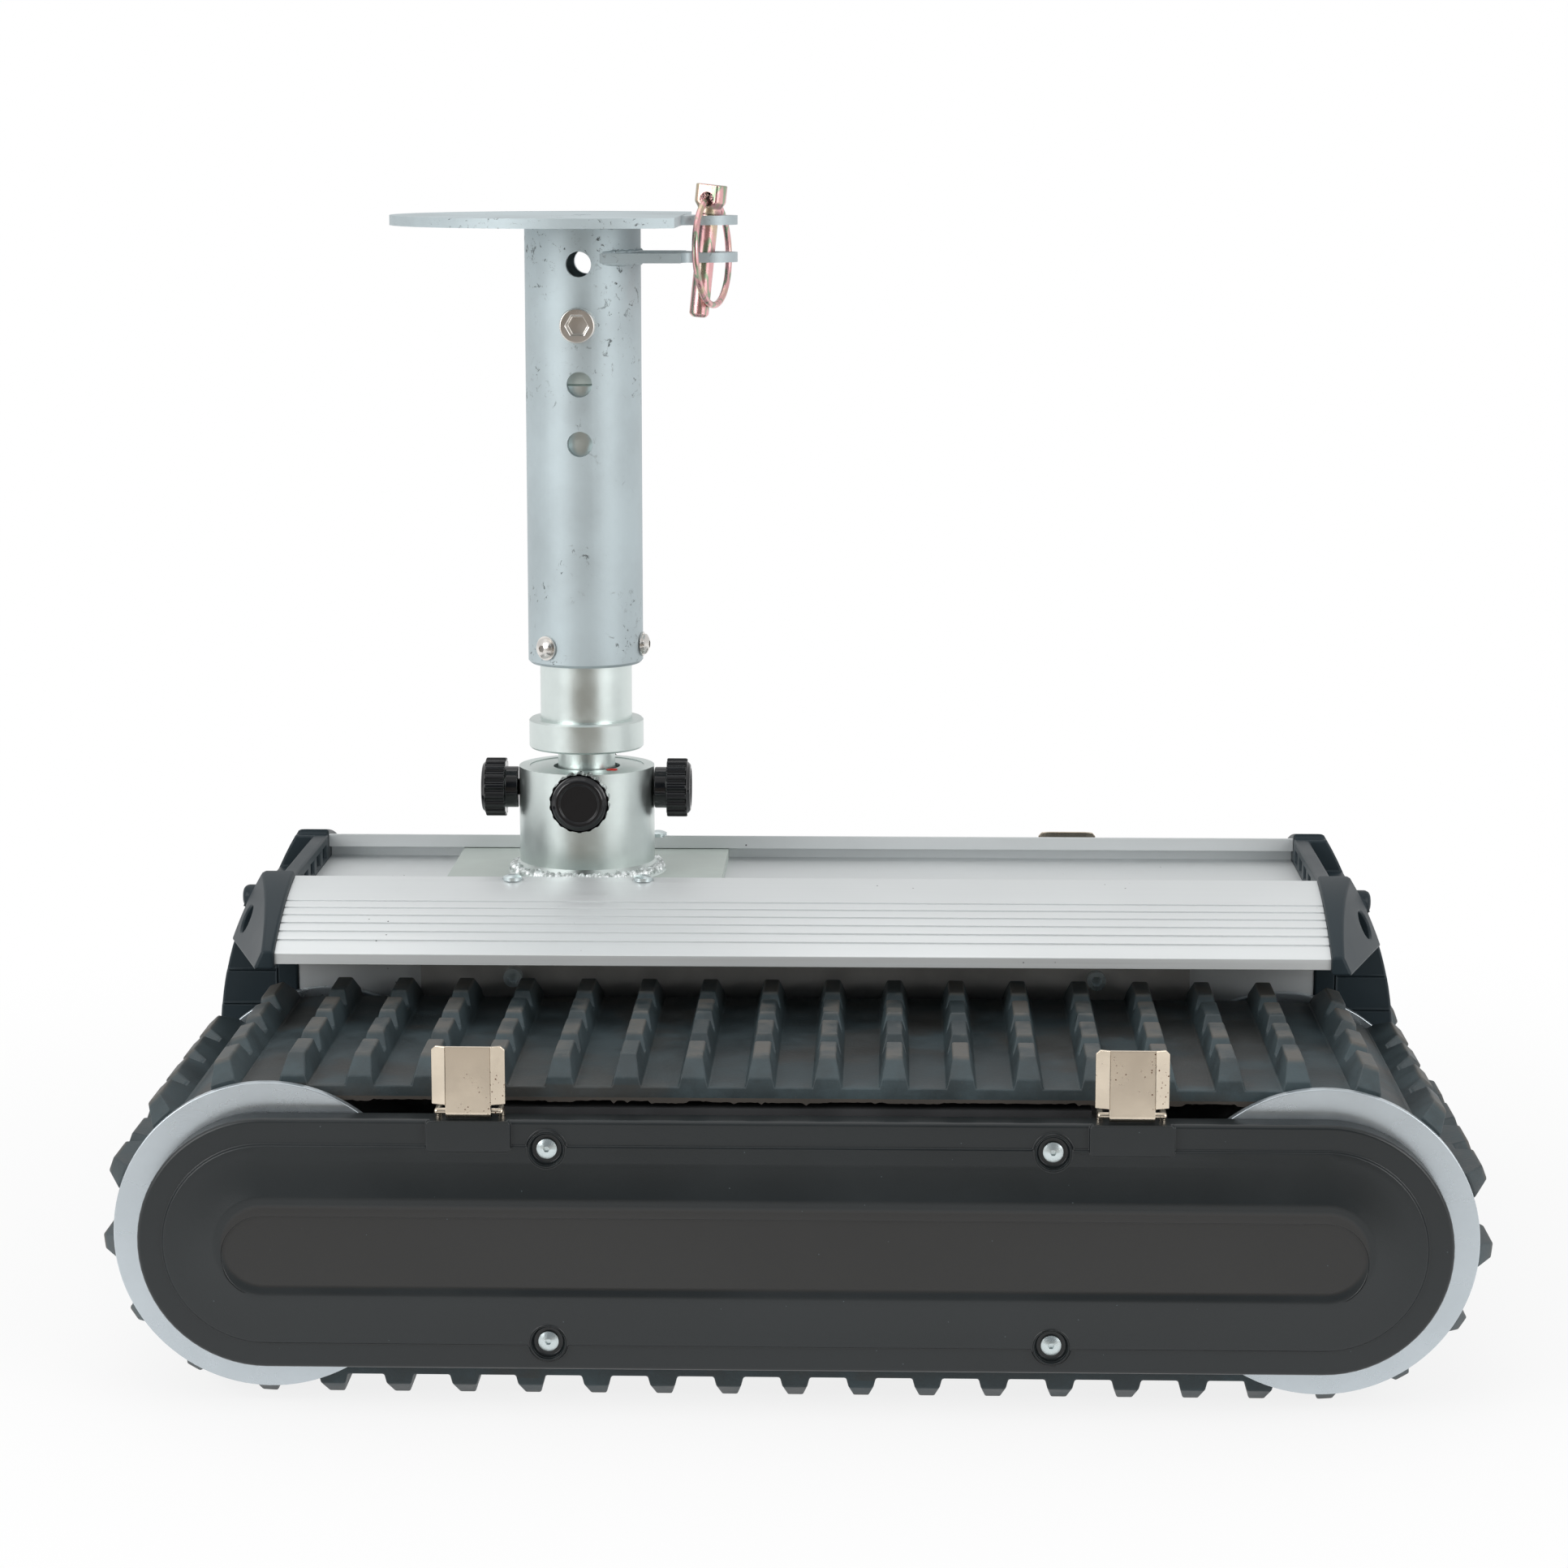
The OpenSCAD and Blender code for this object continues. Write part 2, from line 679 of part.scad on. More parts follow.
module end_cap() {
    difference() {
        cap_body();
        // Hand-hold between the lobes
        translate([body_half + grip_bar, -grip_half, grip_z]) cube([far, 2 * grip_half, far]);
        // Space over the channel is left open above the grip bar
        translate([body_half - 1, -lip_half, lip_z]) cube([far, 2 * lip_half, far]);
        // Hollow behind the skirt
        intersection() {
            translate([body_half - 1, -cap_half + cap_wall, tray_z + cap_wall])
                cube([far, 2 * (cap_half - cap_wall), grip_z - cap_wall - tray_z - cap_wall]);
            rotate([90, 0, 0]) linear_extrude(far, center = true)
                translate([-1, 0]) cap_side(cap_bulge - cap_wall);
        }
        // Vent slots open to the channel
        for (i = [0 : vent_count - 1])
            translate([body_half - 1, (i + 0.5) * 2 * grip_half / vent_count - grip_half - vent_width / 2, deck_z + 2])
                cube([grip_bar - 3, vent_width, vent_height]);
        // Round sockets in the lobes' outer faces, and screw holes
        for (s = [-1, 1]) {
            translate([socket_x, s * socket_y, socket_z]) rotate([0, lobe_turn.y, s * lobe_turn.z]) rotate([0, 90, 0])
                cylinder(d = socket_d, h = 2 * socket_depth, center = true);
            for (z = [port_foot, port_top]) translate([body_half - 1, s * port_y, z]) rotate([0, 90, 0]) {
                cylinder(d = cap_screw_d + 2 * fit, h = far);
                translate([0, 0, cap_seat - body_half + 1]) cylinder(d = 2.4 * cap_screw_d, h = far);
            }
        }
    }
    // Round boss at the front lobe's inner end, with a chamfered end
    translate([body_half + grip_bar, -boss_y, boss_z]) rotate([0, 90, 0]) {
        cylinder(r = boss_r, h = boss_reach - grip_bar - 2);
        translate([0, 0, boss_reach - grip_bar - 2]) cylinder(r1 = boss_r, r2 = boss_r - 2, h = 2);
    }
    // Bosses under the lower and upper screws, up to their seats
    for (s = [-1, 1], z = [port_foot, port_top]) translate([body_half, s * port_y, z]) rotate([0, 90, 0]) difference() {
        cylinder(d = 2.4 * cap_screw_d, h = cap_seat - body_half);
        translate([0, 0, -1]) cylinder(d = cap_screw_d + 2 * fit, h = far);
    }
}

// Screws of the end caps, in the ports, and of the bottom tray, up into the lower ports
module body_screws() color("darkgray") {
    both_ends() for (s = [-1, 1], z = [port_foot, port_top])
        translate([cap_seat, s * port_y, z]) rotate([0, 90, 0]) pan_screw(cap_screw_d, 20);
    tray_screw_places() rotate([180, 0, 0]) pan_screw(cap_screw_d, tray_thick + port_d / 2);
}

module tray_screw_places() {
    for (x = [-1, 0, 1], y = [-1, 1]) translate([x * tray_screw_x, y * port_y, tray_z]) children();
}

// Mast base

module mast_socket() color("lightsteelblue") difference() {
    union() {
        translate([mast_x - base_width / 2, -slot_half + base_clear, deck_z])
            cube([base_width, 2 * (slot_half - base_clear), base_thick]);
        translate([mast_x, 0, hub_foot]) {
            cylinder(r = hub_r, h = hub_top - hub_foot);
            cylinder(r1 = hub_r + weld, r2 = hub_r, h = weld);
        }
    }
    translate([mast_x, 0, hub_foot]) cylinder(r = cartridge_r + fit, h = far);
    for (a = [0 : 90 : 270])
        translate([mast_x, 0, knob_z]) rotate([0, 0, a]) rotate([90, 0, 0]) cylinder(d = stud_d + 0.2, h = far);
    for (s = [-1, 1], t = [-1, 1])
        translate([mast_x + s * base_screw_half, t * base_screw_y, 0]) cylinder(d = base_screw_d + 2 * fit, h = far);
}

module socket_screws() color("silver")
    for (s = [-1, 1], t = [-1, 1])
        translate([mast_x + s * base_screw_half, t * base_screw_y, lip_seat])
            pan_screw(base_screw_d, lip_seat - deck_z + wall + 2);

module bearing_cartridge() color("gray") translate([mast_x, 0, 0]) rotate_extrude() difference() {
    translate([0, hub_foot]) square([cartridge_r, hub_top - hub_foot - 0.5]);
    translate([0, cartridge_floor]) square([shaft_d / 2 + fit, far]);
    translate([0, hub_top - mouth_depth]) square([mouth_d / 2, far]);
    // Groove that the clamping studs reach into
    translate([groove_r, knob_z - stud_d / 2 - 0.5]) square([cartridge_r, stud_d + 1]);
}

// Knob with its stud, turned out from the front; the stud's tip stays clear of the cartridge
module knob() {
    translate([mast_x, 0, knob_z]) rotate([90, 0, 0]) {
        translate([0, 0, stud_tip]) cylinder(d = stud_d, h = knob_in - stud_tip);
        translate([0, 0, knob_in]) cylinder(d = neck_d, h = neck_len);
        translate([0, 0, knob_in + neck_len]) difference() {
            union() {
                linear_extrude(knob_thick - 2) knob_outline();
                translate([0, 0, knob_thick - 2]) cylinder(d1 = knob_d - 3, d2 = knob_d - 7, h = 2);
            }
            // Shallow dish in the face
            translate([0, 0, knob_thick - 0.8]) cylinder(d = knob_d - 11, h = 2);
        }
    }
}

module knob_outline() difference() {
    circle(d = knob_d);
    for (i = [0 : flutes - 1])
        rotate(i * 360 / flutes) translate([knob_d / 2 + 0.4, 0]) circle(r = knob_d * PI / flutes / 3.4);
}

module turned_knob(turn) color("black")
    translate([mast_x, 0, 0]) rotate([0, 0, turn]) translate([-mast_x, 0, 0]) knob();

// Swivel post and mast

module swivel_post() color("gainsboro") translate([mast_x, 0, 0]) rotate_extrude() polygon([
    [0, cartridge_floor], [shaft_d / 2 - 1, cartridge_floor], [shaft_d / 2, cartridge_floor + 1],
    [shaft_d / 2, collar_z], [collar_d / 2 - 1, collar_z], [collar_d / 2, collar_z + 1],
    [collar_d / 2, sleeve_z - 1], [collar_d / 2 - 1, sleeve_z], [sleeve_d / 2, sleeve_z],
    [sleeve_d / 2, sleeve_top - 1], [sleeve_d / 2 - 1, sleeve_top], [0, sleeve_top]
]);

// Ear with concave fillets where it leaves the plate's cut edge
module ear_outline() {
    translate([pin_reach, 0]) circle(d = ear_width);
    difference() {
        translate([plate_cut - 1, -ear_width / 2 - ear_fillet])
            square([pin_reach - plate_cut + 1, ear_width + 2 * ear_fillet]);
        for (s = [-1, 1])
            translate([plate_cut + ear_fillet, s * (ear_width / 2 + ear_fillet)]) {
                circle(r = ear_fillet);
                translate([0, -ear_fillet]) square([far, 2 * ear_fillet]);
            }
    }
}

// Round plate with one straight edge; its ear lies a little lower, so that the support face is clear of the pin
module top_plate() color("lightsteelblue") translate([mast_x, 0, plate_z]) {
    linear_extrude(top_thick) difference() {
        intersection() {
            circle(d = plate_d);
            translate([-far, -far]) square([far + plate_cut, 2 * far]);
        }
        circle(d = centre_hole_d);
    }
    linear_extrude(top_thick - ear_step) difference() {
        ear_outline();
        translate([pin_reach, 0]) circle(d = ear_hole_d);
    }
}

// Ear welded to the tube's side
module lower_ear() color("lightsteelblue") translate([mast_x, 0, lower_ear_z]) linear_extrude(top_thick) difference() {
    union() {
        translate([0, -lower_width / 2]) square([plate_cut, lower_width]);
        ear_outline();
    }
    circle(r = tube_r);
    translate([pin_reach, 0]) circle(d = ear_hole_d);
}

module mast_tube() color("lightsteelblue") translate([mast_x, 0, 0]) difference() {
    translate([0, 0, tube_z]) cylinder(r = tube_r, h = tube_len);
    translate([0, 0, tube_z - 1]) cylinder(r = tube_bore_r, h = tube_len + 2);
    // Bevel at the tube's foot
    translate([0, 0, tube_z]) rotate_extrude()
        polygon([[tube_r - 1.5, -1], [tube_r + 1, -1], [tube_r + 1, 1.5], [tube_r, 1.5], [tube_r - 1.5, 0]]);
    for (z = hole_z) translate([0, 0, z]) rotate([90, 0, 0]) cylinder(d = hole_d, h = far, center = true);
    for (i = [0 : 2])
        rotate([0, 0, guide_turn + i * 120]) translate([0, 0, tube_z + guide_z]) rotate([90, 0, 0])
            cylinder(d = guide_d + 2 * fit, h = far);
}

module inner_plug() color("gray") translate([mast_x, 0, 0]) difference() {
    translate([0, 0, sleeve_top]) cylinder(r = tube_bore_r - fit, h = plug_len);
    translate([0, 0, bolt_z]) rotate([90, 0, 0]) cylinder(d = height_bolt_d + 2 * fit, h = far, center = true);
}

module height_bolt() color("gainsboro") translate([mast_x, -tube_r, bolt_z]) rotate([90, 0, 0])
    socket_screw(height_bolt_d, tube_d + 12, height_head_d);

module height_nut() color("gainsboro") translate([mast_x, tube_r, bolt_z]) rotate([-90, 0, 0]) difference() {
    cylinder(d = 1.75 * height_bolt_d, h = 0.8 * height_bolt_d, $fn = 6);
    translate([0, 0, -1]) cylinder(d = height_bolt_d + 2 * fit, h = far);
}

module guide_screws() color("gainsboro") translate([mast_x, 0, tube_z + guide_z])
    for (i = [0 : 2]) rotate([0, 0, guide_turn + i * 120]) rotate([90, 0, 0]) translate([0, 0, tube_r]) {
        // Washer, then the button head
        difference() {
            cylinder(d = 2.1 * guide_d, h = 1);
            translate([0, 0, -1]) cylinder(d = guide_d, h = 3);
        }
        translate([0, 0, 1]) button_screw(guide_d, tube_r - tube_bore_r + 1 - eps);
    }

module button_screw(d, length) difference() {
    union() {
        translate([0, 0, -length]) cylinder(d = d, h = length);
        intersection() {
            cylinder(d = 1.75 * d, h = 0.55 * d);
            translate([0, 0, -0.75 * d]) sphere(r = 1.3 * d);
        }
    }
    translate([0, 0, 0.2 * d]) cylinder(d = 0.66 * d, h = d, $fn = 6);
}

// Locking pin

// Places the pin's own frame: its axis is Z, and the cross hole in its head runs along Y
module on_pin() {
    translate([pin_x, 0, pin_seat + pin_lift]) rotate([0, pin_lean, 0]) rotate([0, 0, pin_turn]) children();
}

module locking_pin() color("goldenrod") on_pin() difference() {
    tip = 1.5;
    neck = 3;
    union() {
        translate([0, 0, tip - pin_len]) cylinder(d = pin_d, h = pin_len);
        translate([0, 0, -pin_len]) cylinder(d1 = pin_d - 2 * tip, d2 = pin_d, h = tip);
        cylinder(d = pin_neck_d, h = neck + eps);
        intersection() {
            translate([0, 0, neck]) union() {
                cylinder(d1 = pin_neck_d, d2 = pin_head_d, h = neck);
                translate([0, 0, neck]) cylinder(d = pin_head_d, h = pin_head_h - 2 * neck);
            }
            translate([-far / 2, -pin_flats / 2, 0]) cube([far, pin_flats, far]);
        }
    }
    translate([0, 0, pin_head_h / 2]) rotate([90, 0, 0]) cylinder(d = pin_eye_d, h = far, center = true);
}

module pin_ring() color("goldenrod") on_pin() translate([0, 0, pin_head_h / 2]) rotate([0, -ring_tilt, 0])
    translate([0, 0, -ring_d / 2]) rotate([0, 90, 0])
        rotate_extrude() translate([ring_d / 2, 0]) circle(d = ring_wire);

// Track frame

module track_frame() color("dimgray") track() difference() {
    beam_r = belt_inner_r - beam_gap;
    nose_r = carrier_radius - 8;
    union() {
        translate([-beam_half, -beam_r, plate_out]) cube([2 * beam_half, 2 * beam_r, belt_out - plate_out]);
        // Nose that carries the outer plate
        translate([-beam_half, -nose_r, plate_out]) cube([2 * beam_half, 2 * nose_r, carrier_in - plate_out]);
        translate([-plate_half, body_foot - axle_z, wall_out])
            cube([2 * plate_half, plate_top - body_foot, plate_thick]);
    }
    // Closed hollow inside the beam
    translate([-beam_half + beam_wall, -beam_r + beam_wall, plate_out + beam_wall])
        cube([2 * (beam_half - beam_wall), 2 * (beam_r - beam_wall), belt_out - plate_out - 2 * beam_wall]);
    for (s = [-1, 1], z = [bolt_top, bolt_foot])
        translate([s * bolt_half, z - axle_z, 0]) cylinder(d = bolt_d + 2 * fit, h = plate_out + 1);
}

module frame_bolts() color("gainsboro") track()
    for (s = [-1, 1], z = [bolt_top, bolt_foot])
        translate([s * bolt_half, z - axle_z, plate_out]) socket_screw(bolt_d, plate_out - wall_in, 1.6 * bolt_d);

module carrier_plate() color("dimgray") track() difference() {
    translate([0, 0, carrier_in]) linear_extrude(carrier_thick) difference() {
        stadium(carrier_radius);
        for (s = [-1, 1]) translate([s * half_base, 0]) circle(d = thin_bearing_d + 2 * fit);
        square([wheelbase * 0.5, carrier_radius], center = true);
    }
    cover_screw_places() cylinder(d = cover_screw_d + 2 * fit, h = far);
}

module cover_screw_places() {
    for (x = cover_screw_x, y = [-1, 1]) translate([x, y * cover_screw_rise, 0]) children();
}

// Ball bearing as an outer ring, an inner ring and a shield between them
module ball_bearing(d, w) difference() {
    cylinder(d = d, h = w);
    translate([0, 0, -1]) cylinder(r = axle_r + fit, h = w + 2);
    for (z = [-1, w - 0.6]) translate([0, 0, z]) difference() {
        cylinder(r = axle_r + (d / 2 - axle_r) * 0.72, h = 1.6);
        translate([0, 0, -1]) cylinder(r = axle_r + (d / 2 - axle_r) * 0.3, h = 4);
    }
}

module bearings() color("gray") track()
    for (s = [-1, 1]) translate([s * half_base, 0, 0]) {
        translate([0, 0, block_in]) ball_bearing(bearing_d, bearing_w);
        translate([0, 0, carrier_in]) ball_bearing(thin_bearing_d, carrier_thick - 1);
    }

module bearing_blocks() color("dimgray") track()
    for (s = [-1, 1]) translate([s * half_base, 0, block_in]) difference() {
        cylinder(r = block_r, h = bearing_w);
        translate([0, 0, -1]) cylinder(d = bearing_d + 2 * fit, h = bearing_w + 2);
        // The foot is flat where it would reach the screws in the ports
        translate([-block_r - 1, block_foot - axle_z - far, -1]) cube([2 * block_r + 2, far, bearing_w + 2]);
    }

// Belt

// Place and turn of a lug, a distance along the belt from the left end of the top run
function lug_place(s) =
    let (bend = PI * belt_pitch_r)
    s < wheelbase ? [s - half_base, belt_radius, 0] :
    s < wheelbase + bend ? let (a = 90 - (s - wheelbase) / bend * 180)
        [half_base + belt_radius * cos(a), belt_radius * sin(a), a - 90] :
    s < 2 * wheelbase + bend ? [half_base - (s - wheelbase - bend), -belt_radius, 180] :
    let (a = 270 - (s - 2 * wheelbase - bend) / bend * 180)
        [-half_base + belt_radius * cos(a), belt_radius * sin(a), a - 90];

module lug() {
    sink = 1.5;
    polygon([[-lug_root / 2, -sink], [lug_root / 2, -sink], [lug_root / 2, 0], [lug_crest / 2, lug_height],
        [-lug_crest / 2, lug_height], [-lug_root / 2, 0]]);
}

module belt_outline() {
    difference() {
        stadium(belt_radius);
        stadium(belt_inner_r);
    }
    for (i = [0 : lug_count - 1]) {
        p = lug_place((i + 0.36) * belt_loop / lug_count);
        translate([p.x, p.y]) rotate(p.z) lug();
    }
}

// Outline, in radius and depth, that parts the blocks of a row and bevels the row's ends
module lug_cuts() {
    over = 2;
    notch_r = crest_r - notch_depth;
    grow = (notch_crest - notch_floor) / 2 / notch_depth;
    row = belt_width - 2 * bevel_run;
    block = (row - (lug_blocks - 1) * notch_crest) / lug_blocks;
    for (i = [1 : lug_blocks - 1])
        translate([0, belt_inset + bevel_run + i * (block + notch_crest) - notch_crest / 2]) polygon([
            [notch_r, -notch_floor / 2], [crest_r + over, -notch_crest / 2 - grow * over],
            [crest_r + over, notch_crest / 2 + grow * over], [notch_r, notch_floor / 2]
        ]);
    slope = bevel_run / bevel_drop;
    for (s = [0, 1])
        translate([0, s ? belt_out : belt_inset]) mirror([0, s]) polygon([
            [crest_r - bevel_drop, 0], [crest_r - bevel_drop - over / slope, -over],
            [crest_r + over, -over], [crest_r + over, bevel_run + over * slope]
        ]);
}

module belt() color("#2b2b2b") track() difference() {
    translate([0, 0, belt_inset]) linear_extrude(belt_width) belt_outline();
    round_loop() lug_cuts();
}

// Wheels

module drum() color("gray") rotate_extrude() difference() {
    translate([axle_r + fit, drum_in]) square([drum_r - axle_r - fit, drum_out - drum_in]);
    // Hollow between the hub and the rim, on both sides of the web
    for (z = [drum_in + drum_wall, (drum_in + drum_out + drum_wall) / 2])
        translate([axle_r + drum_wall, z])
            square([drum_r - axle_r - 2 * drum_wall, (drum_out - drum_in - 3 * drum_wall) / 2]);
}

module flanges() color("lightsteelblue")
    for (z = [flange_in, drum_out]) translate([0, 0, z]) difference() {
        cylinder(r = flange_radius, h = flange_thick);
        translate([0, 0, -1]) cylinder(r = axle_r + fit, h = flange_thick + 2);
    }

module axle(from) color("gainsboro") translate([0, 0, from]) {
    length = carrier_out - 1 - from;
    cylinder(r = axle_r, h = length - 1);
    translate([0, 0, length - 1]) cylinder(r1 = axle_r, r2 = axle_r - 1, h = 1);
}

module at_wheel(side) track() translate([side * half_base, 0, 0]) children();

// Cover

function bow(r, from, to, steps = 6) = [for (i = [0 : steps]) let (a = from + (to - from) * i / steps) [r * cos(a), r * sin(a)]];

// Half section of the cover in radius and depth, shrunk by an inset for the inside
module cover_section(inset = 0) {
    crown_r = panel_r - inset;
    rise = panel_rise - panel_step;
    crown = [for (i = [1 : 6]) let (a = 90 * i / 6) [crown_r - (crown_r - recess_radius) * sin(a), rim_out + panel_step - inset + rise * (1 - pow(cos(a), 2))]];
    polygon(concat(
        [[0, cover_in - (inset > 0 ? 1 : 0)], [cover_radius - inset, cover_in - (inset > 0 ? 1 : 0)]],
        [for (p = bow(rim_round, 0, 90)) [cover_radius - inset - rim_round + p.x, rim_out - inset - rim_round + p.y]],
        [[panel_r - inset + 0.6, rim_out - inset], [crown_r, rim_out + panel_step - inset]],
        crown,
        [[0, panel_out - inset]]
    ));
}

module cover() color("#26282a") track() difference() {
    union() {
        difference() {
            round_loop() cover_section();
            round_loop() cover_section(cover_wall);
        }
        // Bosses that the screws pass through, down to the carrier plate
        cover_screw_places() translate([0, 0, carrier_out]) cylinder(r = pocket_radius - 0.8, h = rim_out - carrier_out - eps);
        // Collars round the screws' pockets
        cover_screw_places() translate([0, 0, rim_out - cover_wall]) {
            cylinder(r = pocket_radius + collar_wall, h = cover_wall + panel_step);
            cylinder(r = pocket_radius + collar_wall / 2, h = cover_wall + panel_step + collar_lip);
        }
        // Pads under the latches
        for (x = latch_x) translate([x, cover_radius - pad_height / 2, rim_out - cover_wall])
            linear_extrude(cover_wall + pad_rise) offset(r = pad_round) offset(delta = -pad_round)
                square([pad_width, pad_height], center = true);
    }
    translate([0, -recess_drop, panel_out - recess_depth]) linear_extrude(far) stadium(recess_radius);
    cover_screw_places() {
        cylinder(d = cover_screw_d + 2 * fit, h = far);
        translate([0, 0, rim_out - 2]) cylinder(r1 = pocket_radius - 1, r2 = pocket_radius, h = 2 + eps);
        translate([0, 0, rim_out]) cylinder(r = pocket_radius, h = far);
    }
    for (x = latch_x) translate([x, latch_y, latch_depth]) bail(latch_pin_r + fit);
}

module cover_screws() color("gainsboro") track() cover_screw_places() translate([0, 0, rim_out - 2])
    button_screw_d(cover_screw_d, rim_out - 2 - carrier_in, cover_head_d);

// Screw with a domed head of a given width
module button_screw_d(d, length, head_d) difference() {
    union() {
        translate([0, 0, -length]) cylinder(d = d, h = length);
        intersection() {
            cylinder(d = head_d, h = 0.55 * d);
            translate([0, 0, -0.8 * head_d]) sphere(r = 1.08 * head_d);
        }
    }
    translate([0, 0, 0.2 * d]) cylinder(d = 0.6 * d, h = d, $fn = 6);
}

// Latches

// Wire bail: a straight front that the latch turns on, and two legs that run back and down into the cover
module bail(r) {
    half = latch_pin_len / 2;
    corner = 1.03;
    translate([-half, 0, 0]) rotate([0, 90, 0]) cylinder(r = r, h = 2 * half);
    for (s = [-1, 1]) translate([s * half, 0, 0]) {
        sphere(r = corner * r);
        translate([0, 0, -bail_reach]) {
            cylinder(r = r, h = bail_reach);
            sphere(r = corner * r);
            rotate([90, 0, 0]) cylinder(r = r, h = bail_drop);
        }
    }
}

module latch_pins() color("silver") track()
    for (x = latch_x) translate([x, latch_y, latch_depth]) bail(latch_pin_r);

// Lever: a rolled barrel on the pin, and a plate whose two wings bend back
module latch(side) color("antiquewhite") track() translate([latch_x[side], latch_y, latch_depth]) difference() {
    wing = (latch_width - latch_flat) / 2;
    union() {
        translate([-barrel_half, 0, 0]) rotate([0, 90, 0]) cylinder(r = barrel_r, h = latch_flat);
        translate([-barrel_half, 0, barrel_r - latch_thick]) cube([latch_flat, latch_height, latch_thick]);
        translate([0, barrel_r + latch_gap, barrel_r - latch_thick]) rotate([-90, 0, 0])
            linear_extrude(latch_height - barrel_r - latch_gap) for (m = [0, 1]) mirror([m, 0]) polygon([
                [barrel_half - eps, 0], [barrel_half + wing, wing_bend], [barrel_half + wing, wing_bend - latch_thick],
                [barrel_half - eps, -latch_thick]
            ]);
    }
    translate([-far / 2, 0, 0]) rotate([0, 90, 0]) cylinder(r = latch_pin_r + fit, h = far);
    // Clipped upper corners
    for (s = [-1, 1]) translate([s * latch_width / 2, latch_height, 0]) rotate(45)
        cube([sqrt(2) * latch_clip, sqrt(2) * latch_clip, far], center = true);
}

// Inside

module gearbox() color("dimgray") track() difference() {
    union() {
        translate([-half_base, 0, block_in - gearbox_depth]) cylinder(r = gearbox_radius, h = gearbox_depth);
        translate([-half_base, -gearbox_radius, block_in - gearbox_depth])
            cube([gearbox_len, 2 * gearbox_radius, gearbox_depth]);
    }
    translate([-half_base, 0, block_in - gearbox_depth + 4]) cylinder(r = axle_r + fit, h = far);
}

module motor() color("black") track()
    translate([-half_base + gearbox_len, 0, block_in - motor_d / 2]) rotate([0, 90, 0]) {
        cylinder(d = motor_d, h = motor_len - 8);
        translate([0, 0, motor_len - 8]) cylinder(d1 = motor_d, d2 = motor_d - 10, h = 8);
    }

module battery() color("#333840") translate([-battery_len / 2, -case_half, body_foot])
    cube([battery_len, 2 * case_half, battery_height]);

module control_unit() color("#55606a") translate([-control_len / 2, -case_half, control_z])
    cube([control_len, 2 * case_half, control_height]);

// The rear track is the front one turned half a turn about the middle of the body
module rear() {
    rotate([0, 0, 180]) children();
}

module both_tracks() {
    children();
    rear() children();
}

body_extrusion();
bottom_tray();
color("#34373a") mirror([1, 0, 0]) end_cap();  // end_cap_left
color("#34373a") end_cap();  // end_cap_right
body_screws();
mast_socket();
socket_screws();
bearing_cartridge();
battery();
control_unit();
motor();  // front_motor
gearbox();  // front_gearbox
rear() motor();  // rear_motor
rear() gearbox();  // rear_gearbox
track_frame();  // front_track_frame
carrier_plate();  // front_carrier_plate
bearings();  // front_bearings
bearing_blocks();  // front_bearing_blocks
belt();  // front_belt
at_wheel(-1) drum();  // front_drive_drum
at_wheel(-1) flanges();  // front_drive_flanges
at_wheel(-1) axle(drive_axle_in);  // front_drive_axle
at_wheel(1) drum();  // front_idle_drum
at_wheel(1) flanges();  // front_idle_flanges
at_wheel(1) axle(block_in);  // front_idle_axle
cover();  // front_cover
latch_pins();  // front_latch_pins
latch(0);  // front_latch_left
latch(1);  // front_latch_right
rear() track_frame();  // rear_track_frame
rear() carrier_plate();  // rear_carrier_plate
rear() bearings();  // rear_bearings
rear() bearing_blocks();  // rear_bearing_blocks
rear() belt();  // rear_belt
rear() at_wheel(-1) drum();  // rear_drive_drum
rear() at_wheel(-1) flanges();  // rear_drive_flanges
rear() at_wheel(-1) axle(drive_axle_in);  // rear_drive_axle
rear() at_wheel(1) drum();  // rear_idle_drum
rear() at_wheel(1) flanges();  // rear_idle_flanges
rear() at_wheel(1) axle(block_in);  // rear_idle_axle
rear() cover();  // rear_cover
rear() latch_pins();  // rear_latch_pins
rear() latch(0);  // rear_latch_left
rear() latch(1);  // rear_latch_right
both_tracks() frame_bolts();
both_tracks() cover_screws();
swivel_post();
mast_tube();
top_plate();
lower_ear();
inner_plug();
height_bolt();
height_nut();
guide_screws();
turned_knob(0);  // knob_front
turned_knob(90);  // knob_right
turned_knob(180);  // knob_rear
turned_knob(270);  // knob_left
locking_pin();
pin_ring();
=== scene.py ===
"""Looks of a caravan motor mover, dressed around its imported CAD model."""

import json
import math
import random

import bmesh
import bpy
from bpy.props import FloatProperty, FloatVectorProperty, PointerProperty
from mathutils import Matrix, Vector, noise


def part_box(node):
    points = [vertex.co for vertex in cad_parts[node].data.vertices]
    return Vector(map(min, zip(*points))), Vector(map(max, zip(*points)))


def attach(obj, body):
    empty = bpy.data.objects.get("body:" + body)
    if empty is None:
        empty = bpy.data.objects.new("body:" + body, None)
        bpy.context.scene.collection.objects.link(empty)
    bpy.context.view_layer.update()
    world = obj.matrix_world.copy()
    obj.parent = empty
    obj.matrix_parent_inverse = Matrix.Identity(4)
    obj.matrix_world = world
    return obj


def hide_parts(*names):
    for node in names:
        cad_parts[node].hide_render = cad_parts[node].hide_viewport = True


bl_info = {
    "name": "Caravan motor mover",
    "version": (1, 0, 0),
    "blender": (4, 5, 0),
    "location": "3D View > Sidebar > Mover",
    "description": "Dresses the CAD model of a tracked caravan mover with edges, welds and finishes",
    "category": "Object",
}

